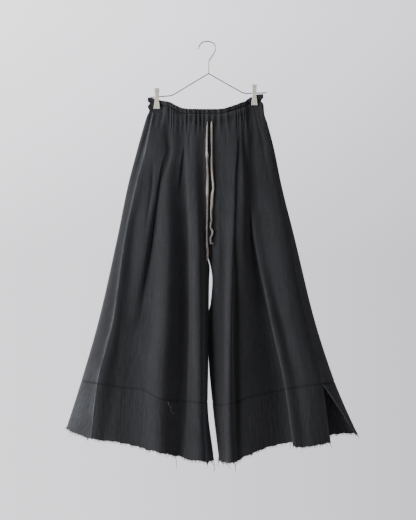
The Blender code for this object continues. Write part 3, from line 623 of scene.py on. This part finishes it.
def crease_rise(path, width, lip, x, z):
    """How far one crease moves the cloth outwards at places (x, z)."""
    route = smooth_route(path, 4 * len(path))
    nearest = np.full(x.shape, 1e6)
    offset = np.zeros(x.shape)
    depth = np.zeros(x.shape)
    for start, end in zip(route, route[1:]):
        run = end - start
        from_x = x - start[0]
        from_z = z - start[1]
        f = np.clip((from_x * run[0] + from_z * run[1]) / (run[0] ** 2 + run[1] ** 2), 0.0, 1.0)
        away = np.hypot(from_x - f * run[0], from_z - f * run[1])
        closer = away < nearest
        nearest[closer] = away[closer]
        at_right = from_z * run[0] - from_x * run[1] > 0
        offset[closer] = np.where(at_right, away, -away)[closer]
        depth[closer] = (start[2] + f * run[2])[closer]
    if lip == 0:
        return -depth * bell(offset, width)
    past_lip = -lip * offset
    fallen = 1.45 * bell(past_lip, LIP_EDGE) - 0.45 * bell(past_lip, 0.7 * width)
    return depth * np.where(past_lip < 0, bell(offset, width), fallen)


def outwards(points, side):
    """Unit directions out of the cloth at each point of a panel's grid."""
    out = np.cross(np.gradient(points, axis=1), np.gradient(points, axis=0))
    return -side * out / (np.linalg.norm(out, axis=2)[:, :, None] + 1e-9)


def finish_piece(name, mesh, material):
    """A smooth piece at the origin, fixed to the body, from a bmesh."""
    for face in mesh.faces:
        face.smooth = True
    data = bpy.data.meshes.new(name)
    mesh.to_mesh(data)
    mesh.free()
    data.materials.append(material)
    piece = place_object(name, data)
    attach(piece, "root")
    return piece


def lay_cloth(name, points, painted_light, drops, material):
    """A grid of cloth moved onto its points, with its painted highlight and shade, thickness and UV map.

    The map is in metres: the distance across from the panel's middle, and the distance down.
    """
    rows, columns = points.shape[:2]
    steps = np.linalg.norm(np.diff(points, axis=1), axis=2)
    across = np.concatenate((np.zeros((rows, 1)), np.cumsum(steps, axis=1)), axis=1)
    across -= across[:, -1:] / 2
    cloth = bmesh.new()
    bmesh.ops.create_grid(cloth, x_segments=columns - 1, y_segments=rows - 1, size=0.5)
    # This attribute holds the painted highlight and painted shade.
    painted_light_layer = cloth.verts.layers.float.new("painted_light")
    uv_layer = cloth.loops.layers.uv.new("cloth")
    places = {}
    for vert in cloth.verts:
        c = round((vert.co.x + 0.5) * (columns - 1))
        r = round((0.5 - vert.co.y) * (rows - 1))
        places[vert.index] = (across[r, c] * MM, drops[r] * MM)
        vert.co = Vector(points[r, c]) * MM
        vert[painted_light_layer] = float(painted_light[r, c])
    for face in cloth.faces:
        for loop in face.loops:
            loop[uv_layer].uv = places[loop.vert.index]
    piece = finish_piece(name, cloth, material)
    wall = piece.modifiers.new("thickness", "SOLIDIFY")
    wall.thickness = CLOTH_THICKNESS * MM
    wall.offset = 0.0
    return piece


def panel(side, face, drops):
    """Grid of points of one panel with its creases, its directions outwards and its seam's ridge."""
    points = np.array([cloth_row(side, face, drop) for drop in drops])
    out = outwards(points, side)
    x, z = points[:, :, 0], points[:, :, 2]
    wrapped = FRONT[side][-1].parts * FINER
    parts = {"front": slice(None)}
    if face == "back":
        parts = {"back": slice(wrapped, None), "wrap": slice(0, wrapped)}
    rise = np.zeros(x.shape)
    for part, columns in parts.items():
        for width, lip, *path in CREASES[side, part]:
            rise[:, columns] += crease_rise(path, width, lip, x[:, columns], z[:, columns])
    steps = np.linalg.norm(np.diff(points, axis=1), axis=2)
    from_seam = np.zeros(x.shape)
    if face == "front":
        from_seam[:, :-1] = np.cumsum(steps[:, ::-1], axis=1)[:, ::-1]
    else:
        from_seam[:, 1:] = np.cumsum(steps, axis=1)
    ridge = bell(from_seam, SIDE_SEAM_REACH)
    rise += SIDE_SEAM_RISE[side] * ridge
    free = np.maximum(ease(from_clips(x), 11.0, 22.0), ease(-z, 178.0, 200.0))
    frill, casing, leg = CREASE_SHARES
    share = (frill + (casing - frill) * ease(drops, -CASING_HEIGHT - 2.0, -CASING_HEIGHT + 3.0)
             + (leg - casing) * ease(drops, 20.0, 60.0))
    return points + out * (rise * free * share[:, None])[:, :, None], out, ridge


def paint_light_and_shade(side, face, points, ridge):
    """Painted light of a panel: painted highlight on its seam's ridge and wrapped strip, painted shade by its
    tape and foot.
    """
    # Painted highlight along the side seam's ridge, much stronger on the left, which faces the light.
    painted_light = SEAM_HIGHLIGHT[side] * ridge
    x, down = points[:, :, 0], -points[:, :, 2]
    wrapped = FRONT[side][-1].parts * FINER
    if face == "back" and side < 0:
        # Painted highlight on the lower part of the left strip and on its outer rim.
        rim = RIM_HIGHLIGHT * bell(np.arange(points.shape[1]) - wrapped, 3.5)
        painted_light[:, :wrapped] = np.maximum(painted_light, STRIP_HIGHLIGHT * ease(down, 760.0, 1000.0))[:, :wrapped]
        painted_light = np.maximum(painted_light, rim[None, :])
    elif face == "back":
        # Painted highlight on the right strip.
        painted_light[:, :wrapped + 6] = np.maximum(painted_light, STRIP_HIGHLIGHT)[:, :wrapped + 6]
    else:
        # Painted shade beside the drawstring and at the right tape's end, then in the folds at the foot.
        width = 8.0 + 3.0 * (1 - ease(down, 250.0, 300.0))
        by_tape = np.exp(-((x - 5.0) / width) ** 4)
        by_tape *= ease(down, 212.0, 220.0) * (1 - ease(down, 480.0, 560.0))
        by_end = bell(x - 18.0, 6.0) * ease(down, 450.0, 480.0) * (1 - ease(down, 540.0, 565.0))
        painted_light -= TAPE_SHADE * (by_tape + by_end)
        shaded = SHADED_FOLDS[side]
        painted_light[:, shaded] -= FOOT_SHADE[side] * ease(down, 780.0, 930.0)[:, shaded]
    return painted_light


def declare_cloth(node_name):
    """Hides the solid that the cloth replaces."""
    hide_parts(node_name)


PANELS = [(side, side_name, face) for side, side_name in ((-1, "left"), (1, "right"))
          for face in ("front", "back")]
front_points = []
for side, side_name, face in PANELS:
    drops = rows_between(0.0, BAND_DROP)
    points, out, ridge = panel(side, face, drops)
    seam = bell(drops - BAND_DROP, SEAM_REACH)[:, None]
    points -= out * (SEAM_DIP * seam)[:, :, None]
    if face == "front":
        front_points.append(points.reshape(-1, 3))
    painted_light = paint_light_and_shade(side, face, points, ridge) - SEAM_SHADE * seam
    leg = lay_cloth(f"{face}_leg_{side_name}_cloth", points, painted_light, drops, black_cloth)
    declare_cloth(f"{face}_leg_{side_name}")

# ---------------------------------------------------------------- hem bands
# A separate band of the same cloth is sewn to the foot of each panel. Its lower edge is raw. The
# right leg's side seam stops at the band, which leaves a slit between front and back with its two
# edges turned in.
SLIT_TURNING = 7.0          # width of the turned-in edge of the slit
SLIT_THICKER = 0.8
SLIT_HIGHLIGHT = {"front": 0.2, "back": 0.8}
RAW_UNEVENNESS = 1.02
hem_lines = {}
for side, side_name, face in PANELS:
    drops = rows_between(BAND_DROP, HEM_DROP)
    points, out, ridge = panel(side, face, drops)
    seam = bell(drops - BAND_DROP, SEAM_REACH)[:, None]
    points -= out * (SEAM_DIP * seam)[:, :, None]
    place = np.arange(points.shape[1])
    ragged = (np.sin(0.9 * place + 2.0 * np.sin(0.23 * place)) + 0.6 * np.sin(2.3 * place + side)
              + 0.8 * np.sin(0.31 * place + 3.0 * np.sin(0.07 * place)))
    points[:, :, 2] -= RAW_UNEVENNESS * ragged[None, :] * bell(HEM_DROP - drops, 3.0)[:, None]
    painted_light = paint_light_and_shade(side, face, points, ridge) - SEAM_SHADE * seam
    if side > 0:
        from_slit = SIDE_SEAM_REACH * np.sqrt(-np.log(np.maximum(ridge, 1e-12)))
        turned = 1 - ease(from_slit, SLIT_TURNING - 0.8, SLIT_TURNING)
        points += out * (turned * SLIT_THICKER)[:, :, None]
        # Painted highlight along the slit's turned edges, strongest on the back's.
        painted_light += SLIT_HIGHLIGHT[face] * ridge
    band = lay_cloth(f"hem_band_{face}_{side_name}_cloth", points, painted_light, drops, band_cloth)
    hem_lines[face, side_name] = points[-1]
    if face == "front":
        front_points.append(points.reshape(-1, 3))
    declare_cloth(f"hem_band_{face}_{side_name}")

# ---------------------------------------------------------------- waist casing
# A casing of the same cloth, gathered on the drawstring and elastic, with its upper edge left as
# a short frill above a row of stitches that draws it in.
STITCH_GROOVE = 4.4
STITCH_GROOVE_REACH = 2.0
GROOVE_SHADE_SPOTS = ((-92.0, 26.0), (-36.0, 6.0), (11.0, 6.0))      # x and reach of the stretches where the stitch groove's painted shade is deepest
FRILL_TOP_HIGHLIGHT = 0.3
waist_lines = {}
for face in ("front", "back"):
    drops = rows_between(-CASING_HEIGHT - FRILL_HEIGHT, 0.0, 1.5)
    above = drops + CASING_HEIGHT       # below 0 in the frill
    halves = []
    for side in (-1, 1):
        points, out, ridge = panel(side, face, drops)
        halves.append(points - out * (STITCH_GROOVE * bell(above, STITCH_GROOVE_REACH))[:, None, None])
    left, right = halves if face == "back" else [half[:, ::-1] for half in halves]
    middle = (left[:, -1:] + right[:, -1:]) / 2
    points = np.concatenate((left[:, :-1], middle, right[:, ::-1][:, 1:]), axis=1)
    if face == "front":
        front_points.append(points.reshape(-1, 3))
    waist_lines[face] = points[int(np.argmin(np.abs(above)))]
    # Painted highlight along the frill's top edge, and painted shade in the stitch groove, deepest at the
    # listed spots.
    deepest_groove_shade = sum(bell(points[:, :, 0] - x, reach) for x, reach in GROOVE_SHADE_SPOTS)
    painted_light = (FRILL_TOP_HIGHLIGHT * bell(above + FRILL_HEIGHT, 1.8)[:, None]
              - bell(above, 2.5)[:, None] * (0.6 + 0.4 * np.minimum(deepest_groove_shade, 1.0)))
    waist = lay_cloth(f"waist_{face}_cloth", points, painted_light, drops, black_cloth)
    declare_cloth(f"waist_{face}")

# ---------------------------------------------------------------- stitching
# Black sewing thread: a row of stitches along the gathering line of the waist. Each stitch is a
# short plump bar that dips at its ends.
STITCH_LENGTH = 3.2
STITCH_PITCH = 4.3
STITCH_RADIUS = 0.32
FORWARD = np.array((0.0, -1.0, 0.0))


def thread_material(name, colour, roughness):
    """Spun thread: a slightly uneven colour and a fine ribbed surface."""
    material, tree, shader = new_material(name, Roughness=roughness, Specular_IOR_Level=0.3,
                                          Sheen_Weight=0.15)
    spread = streaks(tree, node(tree, "TexCoord", {}).outputs["Object"], 900.0, 900.0)
    tone = mixed(tree, spread, opaque(colour, 0.75), opaque(colour, 1.35))
    tree.links.new(tone, shader.inputs["Base Color"])
    tree.links.new(relief(tree, spread, 0.5, 0.1 * MM), shader.inputs["Normal"])
    return material


def rings_along(mesh, points, loops, reference):
    """Skin of rings round the points; loops are each ring's (sideways, outward) places, in mm."""
    points = np.array(points, float)
    rings = []
    for point, tangent, loop in zip(points, np.gradient(points, axis=0), loops):
        tangent = tangent / np.linalg.norm(tangent)
        sideways = np.cross(tangent, reference)
        sideways /= np.linalg.norm(sideways)
        outward = np.cross(sideways, tangent)
        rings.append([mesh.verts.new(Vector(point + sideways * u + outward * v) * MM) for u, v in loop])
    for first, second in zip(rings, rings[1:]):
        for k in range(len(first)):
            after = (k + 1) % len(first)
            mesh.faces.new((first[k], second[k], second[after], first[after]))
    mesh.faces.new(rings[0])
    mesh.faces.new(reversed(rings[-1]))


def round_loop(radius, count):
    """A ring's places on a circle."""
    turn = np.arange(count) * 2 * math.pi / count
    return np.stack((radius * np.cos(turn), radius * np.sin(turn)), axis=1)


def finish_mesh(name, mesh, material):
    """A closed piece from a bmesh, with its faces outwards."""
    bmesh.ops.recalc_face_normals(mesh, faces=mesh.faces)
    return finish_piece(name, mesh, material)


def spot_at(line, travelled, at):
    """The point of a line at a distance along it."""
    return np.array([np.interp(at, travelled, line[:, axis]) for axis in range(3)])


black_thread = thread_material("black_thread", (0.022, 0.024, 0.027), 0.7)
for face, out in (("front", FORWARD), ("back", -FORWARD)):
    line = waist_lines[face]
    travelled = travelled_along(line)
    stitches = bmesh.new()
    for start in np.arange(STITCH_PITCH, travelled[-1] - STITCH_PITCH, STITCH_PITCH):
        bar, loops = [], []
        for share, lift, size in ((0.0, -0.25, 0.6), (0.25, 0.3, 1.0), (0.75, 0.3, 1.0), (1.0, -0.25, 0.6)):
            spot = spot_at(line, travelled, start + share * STITCH_LENGTH)
            bar.append(spot + out * (CLOTH_THICKNESS / 2 + lift))
            loops.append(round_loop(STITCH_RADIUS * size, 6))
        rings_along(stitches, bar, loops, out)
    finish_mesh(f"waist_{face}_stitches", stitches, black_thread)

# ---------------------------------------------------------------- raw edge
# The hem bands end in their own loose threads: short ones close together, little tufts that have
# worked together, and here and there a long one that has pulled free. They taper, bend and lean
# their own ways. One pale thread lies loose on the left leg's band.
FRAY_SPACING = 2.1
FRAY_SHORT = (2.0, 6.0)
FRAY_RADIUS = 0.5
TUFT_SPACING = 7.0
TUFT_LENGTH = (4.0, 9.0)
TUFT_RADIUS = 1.15
FRAY_LONG_RADIUS = 0.85
STRAY_RADIUS = 0.5
STRAY_LIFT = 1.0
NEAR = 6.0                  # how far round a place the garment's front is looked at
# Long threads: share of the way from the inner edge, length, and lean sideways.
LONG_THREADS = {
    ("front", "left"): ((0.01, 36, 1), (0.05, 26, 7), (0.09, 16, -4), (0.30, 11, 2), (0.40, 36, 2),
                        (0.52, 9, -2), (0.71, 8, 1)),
    ("front", "right"): ((0.02, 20, -4), (0.05, 16, 8), (0.12, 20, 16), (0.23, 25, 3), (0.25, 18, -3),
                         (0.42, 10, -2), (0.68, 12, 3), (0.99, 15, 5)),
    ("back", "left"): ((0.12, 20, 3), (0.45, 14, -3), (0.80, 24, 2)),
    ("back", "right"): ((0.18, 16, -2), (0.52, 22, 3), (0.88, 10, 2), (0.94, 13, 3), (0.99, 12, 6)),
}
STRAY_ROUTE = ((-105, -966), (-103, -974), (-98, -981), (-97, -990), (-90, -1000))
loose = np.random.default_rng(23)
cloth_front = np.concatenate(front_points)


def add_thread(mesh, root, length, lean, curl, radius):
    """One loose thread that hangs from its root, three-sided and tapered."""
    shares = np.linspace(0.0, 1.0, 5 if length < 12 else 9)
    bend = np.sin(shares * (1.6 + 0.05 * length)) * curl
    spots = root + np.stack((lean * shares + bend, -0.4 * bend, 1.0 - shares * (length + 1.0)), axis=1)
    taper = 0.75 if length < 12 else 0.35
    rings_along(mesh, spots, [round_loop(radius * (1.0 - taper * share), 3) for share in shares], FORWARD)


for (face, side_name), line in hem_lines.items():
    travelled = travelled_along(line)
    fray = bmesh.new()
    for at in np.arange(1.0, travelled[-1] - 0.5, FRAY_SPACING):
        root = np.array([np.interp(at + loose.uniform(-1.0, 1.0), travelled, line[:, k]) for k in range(3)])
        length = loose.uniform(*FRAY_SHORT) * (1.6 if loose.random() < 0.12 else 1.0)
        add_thread(fray, root, length, loose.normal(0.0, 0.9), loose.normal(0.0, 0.35), FRAY_RADIUS)
    at = 2.0
    while at < travelled[-1] - 1.0:
        add_thread(fray, spot_at(line, travelled, at), loose.uniform(*TUFT_LENGTH), loose.normal(0.0, 2.4),
                   loose.normal(0.0, 0.8), TUFT_RADIUS * loose.uniform(0.6, 1.0))
        at += TUFT_SPACING * loose.uniform(0.3, 1.7)
    for share, length, lean in LONG_THREADS[face, side_name]:
        at = share if face == "front" else 1.0 - share
        add_thread(fray, spot_at(line, travelled, at * travelled[-1]), length, lean, 0.3 * lean + 1.0,
                   FRAY_LONG_RADIUS)
    fringe = finish_mesh(f"fray_{face}_{side_name}_threads", fray, black_thread)
    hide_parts(f"fray_{face}_{side_name}")

stray = []
for x, z in STRAY_ROUTE:
    close = np.hypot(cloth_front[:, 0] - x, cloth_front[:, 2] - z) < NEAR
    stray.append((x, float(np.min(cloth_front[close, 1])) - STRAY_LIFT, z))
stray_line = smooth_route(stray, 24)
stray_mesh = bmesh.new()
rings_along(stray_mesh, stray_line, [round_loop(STRAY_RADIUS, 5)] * len(stray_line), FORWARD)
stray_thread = finish_mesh("stray_thread", stray_mesh, thread_material("pale_lint", (0.16, 0.16, 0.17), 0.8))

# ---------------------------------------------------------------- drawstring
# Two free ends of a soft, flat cotton tape, unbleached, that come out at the foot of the casing
# and hang down the centre seam. They twist, so they look now wide and now narrow. Both ends are cut.
TAPE_COLOUR = (0.52, 0.46, 0.42)
TAPE_THICKNESS = 2.5
TAPE_CLEARANCE = 0.3
TAPE_SIDES = 12
TAPE_RIBS = (1.3 * MM, 1.1 * MM)        # of the plait, along and across
TapePoint = namedtuple("TapePoint", "x z width turn")
TAPES = {
    "left": ((-0.4, -217, 3.4, 20), (-0.8, -228, 4.4, 10), (-2.0, -262, 5.0, 0), (-2.4, -296, 6.2, -30),
             (-1.6, -308, 8.2, 0), (-0.8, -330, 5.2, 50), (0.3, -368, 6.0, 20), (-0.9, -402, 7.2, -10),
             (-0.3, -436, 5.0, 55), (-1.0, -483, 5.2, 60), (-1.8, -530, 5.4, 30), (-1.0, -552, 6.6, 0),
             (0.6, -568, 6.4, 10), (-0.6, -590, 7.6, 0)),
    "right": ((10.4, -216, 3.4, -20), (10.8, -227, 5.6, 0), (11.0, -263, 5.2, 30), (11.3, -297, 4.8, 50),
              (11.0, -331, 5.6, 20), (12.4, -362, 5.8, 0), (15.0, -395, 6.0, -20), (12.2, -416, 7.4, 0),
              (11.4, -440, 7.4, 10), (9.6, -462, 5.6, 30), (10.4, -480, 5.0, 40), (7.8, -500, 4.6, 20),
              (13.0, -512, 5.8, 0), (12.4, -520, 4.6, -20), (7.6, -532, 4.6, 0), (9.0, -545, 5.0, 0),
              (15.0, -545, 5.6, 10)),
}

tape_cotton, tape_tree, tape_shader = new_material(
    "tape_cotton", Roughness=0.9, Specular_IOR_Level=0.25, Sheen_Weight=0.3, Sheen_Roughness=0.5)
tape_laid = node(tape_tree, "UVMap", {}, uv_map="tape").outputs["UV"]
tape_sides = node(tape_tree, "SeparateXYZ", {"Vector": tape_laid}).outputs
tape_turns = [maths(tape_tree, "MULTIPLY", tape_sides[axis], 2 * math.pi / rib)
              for axis, rib in zip(("Y", "X"), TAPE_RIBS)]
ribs = [maths(tape_tree, "SINE", maths(tape_tree, way, *tape_turns)) for way in ("ADD", "SUBTRACT")]
plait = ranged(tape_tree, maths(tape_tree, "MAXIMUM", *ribs), -1.0, 1.0)
tape_shade = weighted(tape_tree, (plait, 0.6), (streaks(tape_tree, tape_laid, 300.0, 60.0), 0.4))
tape_tint = mixed(tape_tree, tape_shade, opaque(TAPE_COLOUR, 0.55), opaque(TAPE_COLOUR, 1.25))
# Darker towards the lower end of each tape, from 240 to 340 mm along it.
tape_darker_below = ranged(tape_tree, tape_sides["Y"], 0.24, 0.34, 1.0, 0.55)
tape_tree.links.new(mixed(tape_tree, 1.0, tape_tint, tape_darker_below, "MULTIPLY"), tape_shader.inputs["Base Color"])
tape_tree.links.new(relief(tape_tree, plait, 0.7, 0.3 * MM), tape_shader.inputs["Normal"])

pale_thread = thread_material("pale_thread", TAPE_COLOUR, 0.85)
for name, table in TAPES.items():
    resting = 0.0
    stations = []
    for row in (TapePoint(*values) for values in table):
        close = (np.abs(cloth_front[:, 0] - row.x) < NEAR) & (np.abs(cloth_front[:, 2] - row.z) < NEAR + 2.0)
        surface = float(np.min(cloth_front[close, 1]))
        resting = min(resting, surface - CLOTH_THICKNESS / 2 - TAPE_THICKNESS / 2 - TAPE_CLEARANCE)
        stations.append((row.x, resting, row.z, row.width, row.turn))
    line = smooth_route(stations, 150)
    spots = line[:, :3]
    travelled = travelled_along(spots)
    loops = []
    for share, width, turn in zip(np.linspace(0, 1, len(line)), line[:, 3], np.radians(line[:, 4])):
        end = min(1.0, 0.55 + 14.0 * min(share, 1.0 - share))
        ring = round_loop(0.9, TAPE_SIDES)
        flat = np.sign(ring) * np.abs(ring) ** 0.7 * np.array((width / 2 * end, TAPE_THICKNESS / 2 * end))
        flat[:, 1] *= 1.0 + 0.12 * math.sin(90.0 * share)
        loops.append(flat @ np.array(((math.cos(turn), math.sin(turn)), (-math.sin(turn), math.cos(turn)))))
    tape_mesh = bmesh.new()
    rings_along(tape_mesh, spots, loops, FORWARD)
    tape_uv = tape_mesh.loops.layers.uv.new("tape")
    tape_mesh.verts.index_update()
    for face in tape_mesh.faces:
        numbers = [loop.vert.index for loop in face.loops]
        around = [number % TAPE_SIDES for number in numbers]
        wraps = max(around) - min(around) > TAPE_SIDES / 2
        for loop, number, step in zip(face.loops, numbers, around):
            step += TAPE_SIDES if wraps and step < TAPE_SIDES / 2 else 0
            loop[tape_uv].uv = (step * 1.25 * MM, travelled[number // TAPE_SIDES] * MM)
    tape = finish_mesh(f"drawstring_{name}_tape", tape_mesh, tape_cotton)
    cut_end = bmesh.new()
    for k in range(9):
        root = spots[-1] + np.array((loose.uniform(-2.4, 2.4), loose.uniform(-0.6, 0.6), 0.0))
        add_thread(cut_end, root, loose.uniform(1.6, 3.4), loose.normal(0, 0.8), 0.3, 0.22)
    ravel = finish_mesh(f"drawstring_{name}_end_threads", cut_end, pale_thread)
    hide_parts(f"drawstring_{name}")

# ---------------------------------------------------------------- hanger wire
# Pale brass-coloured wire, bent into a hook and stem, and a second wire bent to the shoulders and
# the two straight ends of the bar. The stem is welded on at the apex.
WIRE_RADIUS = 1.35
HOOK_ROUTE = ((-25.4, -19.4), (-20.5, -7.6), (-12.0, -0.6), (0.0, 1.35), (12.0, -1.6), (19.6, -9.4),
              (21.6, -18.6), (17.6, -30.0), (9.6, -42.4), (4.0, -51.5), (2.7, -60.0), (2.7, -85.6))
ARM_ROUTE = ((-154.4, -150.1), (-128.0, -147.9), (-99.4, -145.5), (-88.3, -140.7), (-42.0, -112.3),
             (2.7, -85.6), (50.0, -112.8), (93.4, -136.9), (101.8, -139.3), (130.0, -138.5), (159.6, -137.4))
BEND = 3.0
WELD = (2.7, 0.0, -85.2)


def metal_material(name, bright, dull, roughness, metallic, size):
    """Metal or lacquer whose tone and gloss wander a little, with fine scuffed lines."""
    material, tree, shader = new_material(name, Metallic=metallic)
    place = node(tree, "TexCoord", {}).outputs["Object"]
    broad = streaks(tree, place, size, size)
    fine = streaks(tree, place, 12.0 * size, 3.0 * size, 0.35, 0.65)
    tone = mixed(tree, maths(tree, "MULTIPLY", broad, 0.8), opaque(bright), opaque(dull))
    tree.links.new(tone, shader.inputs["Base Color"])
    tree.links.new(ranged(tree, fine, 0.0, 1.0, roughness, roughness + 0.18), shader.inputs["Roughness"])
    tree.links.new(relief(tree, fine, 0.25, 0.06 * MM), shader.inputs["Normal"])
    return material


def add_wire(mesh, points):
    """Round wire through the points, with its cut ends rounded over."""
    sizes = np.ones(len(points))
    sizes[0] = sizes[-1] = 0.45
    sizes[1] = sizes[-2] = 0.9
    rings_along(mesh, points, [round_loop(WIRE_RADIUS * size, 14) for size in sizes], FORWARD)


def towards(start, end, distance):
    """The place at a distance from the start on the way to the end."""
    return start + (end - start) / np.linalg.norm(end - start) * distance


def bent_route(points):
    """Straight stretches with a small round bend at each inner point, as (x, 0, z)."""
    places = [np.array((x, 0.0, z)) for x, z in points]
    route = [towards(places[0], places[1], step) for step in (0.0, 0.5, 1.4)]
    for before, here, after in zip(places, places[1:], places[2:]):
        inward, outward = towards(here, before, BEND), towards(here, after, BEND)
        for f in np.linspace(0.0, 1.0, 7):
            route.append(inward * (1 - f) ** 2 + here * 2 * f * (1 - f) + outward * f ** 2)
    return route + [towards(places[-1], places[-2], step) for step in (1.4, 0.5, 0.0)]


pale_brass = metal_material("pale_brass", (0.56, 0.51, 0.38), (0.40, 0.36, 0.26), 0.34, 1.0, 160.0)
wire_mesh = bmesh.new()
add_wire(wire_mesh, smooth_route([(x, 0.0, z) for x, z in HOOK_ROUTE], 70))
add_wire(wire_mesh, bent_route(ARM_ROUTE))
weld = bmesh.ops.create_uvsphere(wire_mesh, u_segments=14, v_segments=8, radius=2.0 * MM)["verts"]
bmesh.ops.scale(wire_mesh, verts=weld, vec=(1.15, 0.9, 1.0))
bmesh.ops.translate(wire_mesh, verts=weld, vec=Vector(WELD) * MM)
wire = finish_mesh("hanger_wire_bent", wire_mesh, pale_brass)
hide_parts("hanger_wire")

# ---------------------------------------------------------------- clips
# Two jaws to a clip, pressed from sheet and lacquered cream, narrow where the bar passes between
# them and wide at the grip, with shallow grooves along them. A small steel coil stands between
# the handles.
CLIP_TOPS = (-126.0, -116.4)
JAW_INNER = 2.0
JawRow = namedtuple("JawRow", "name down half_width inner")
JAW = (
    JawRow("handle end", 0.0, 6.0, 8.0),
    JawRow("handle", 10.0, 5.4, 4.6),
    JawRow("bar", 21.0, 4.7, JAW_INNER + 0.1),
    JawRow("neck", 28.0, 5.2, JAW_INNER),
    JawRow("grip", 42.0, 7.2, JAW_INNER),
    JawRow("tip", 55.0, 8.7, JAW_INNER),
)
JAW_THICKNESS = 2.4
JAW_GROOVES = (-0.5, 0.0, 0.5)          # as shares of half the width
JAW_GROOVE_WIDTH = 0.075
JAW_GROOVE_DEPTH = 0.45
JAW_FLAT = 0.84
COIL_DOWN = 12.5
COIL_HALF_LENGTH = 3.6
COIL_RADIUS = 2.4
COIL_TURNS = 5
COIL_WIRE = 0.5

cream_lacquer = metal_material("cream_lacquer", (0.90, 0.82, 0.69), (0.80, 0.72, 0.60), 0.42, 0.0, 90.0)
coil_steel = metal_material("coil_steel", (0.30, 0.30, 0.31), (0.20, 0.20, 0.21), 0.35, 1.0, 200.0)


def jaw_loop(half_width, size):
    """Section of a jaw: a flat bar with round edges and grooves along its outer face."""
    half = JAW_THICKNESS / 2 * size
    outer = []
    for share in np.linspace(-JAW_FLAT, JAW_FLAT, 29):
        dip = sum(bell(share - groove, JAW_GROOVE_WIDTH) for groove in JAW_GROOVES)
        outer.append((share * half_width, half - JAW_GROOVE_DEPTH * size * dip))
    right = [(half_width - half + half * math.cos(t), half * math.sin(t)) for t in np.linspace(1.1, -1.1, 6)]
    inner = [(share * half_width, -half) for share in np.linspace(JAW_FLAT, -JAW_FLAT, 5)]
    left = [(-x, y) for x, y in reversed(right)]
    return np.array(outer + right + inner + left)


jaw_downs = [row.down for row in JAW]
jaw_shape = [(row.half_width, row.inner + JAW_THICKNESS / 2) for row in JAW]
for clip_name, centre, top in zip(("left", "right"), CLIP_CENTRES, CLIP_TOPS):
    for out, face in ((-1.0, "front"), (1.0, "back")):
        spots, loops = [], []
        for down in np.concatenate(((0.0, 0.35, 0.9), np.arange(2.0, 54.0, 1.5), (54.1, 54.65, 55.0))):
            half_width, forward = through(jaw_downs, jaw_shape, down)
            size = min(1.0, math.sqrt(min(1.0, 0.25 + min(down, jaw_downs[-1] - down) / 1.2)))
            spots.append((centre, out * forward, top - down))
            loops.append(jaw_loop(half_width * (0.94 + 0.06 * size), size))
        jaw_mesh = bmesh.new()
        rings_along(jaw_mesh, spots, loops, np.array((0.0, out, 0.0)))
        jaw = finish_mesh(f"clip_{clip_name}_{face}_jaw", jaw_mesh, cream_lacquer)
        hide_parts(f"clip_{clip_name}_{face}")
    share = np.linspace(0.0, 1.0, 24 * COIL_TURNS + 1)
    turn = 2 * math.pi * COIL_TURNS * share
    coil = np.stack((centre + COIL_HALF_LENGTH * (2 * share - 1), COIL_RADIUS * np.cos(turn),
                     top - COIL_DOWN + COIL_RADIUS * np.sin(turn)), axis=1)
    coil_mesh = bmesh.new()
    rings_along(coil_mesh, coil, [round_loop(COIL_WIRE, 8)] * len(coil), np.array((1.0, 0.0, 0.0)))
    finish_mesh(f"clip_{clip_name}_coil", coil_mesh, coil_steel)
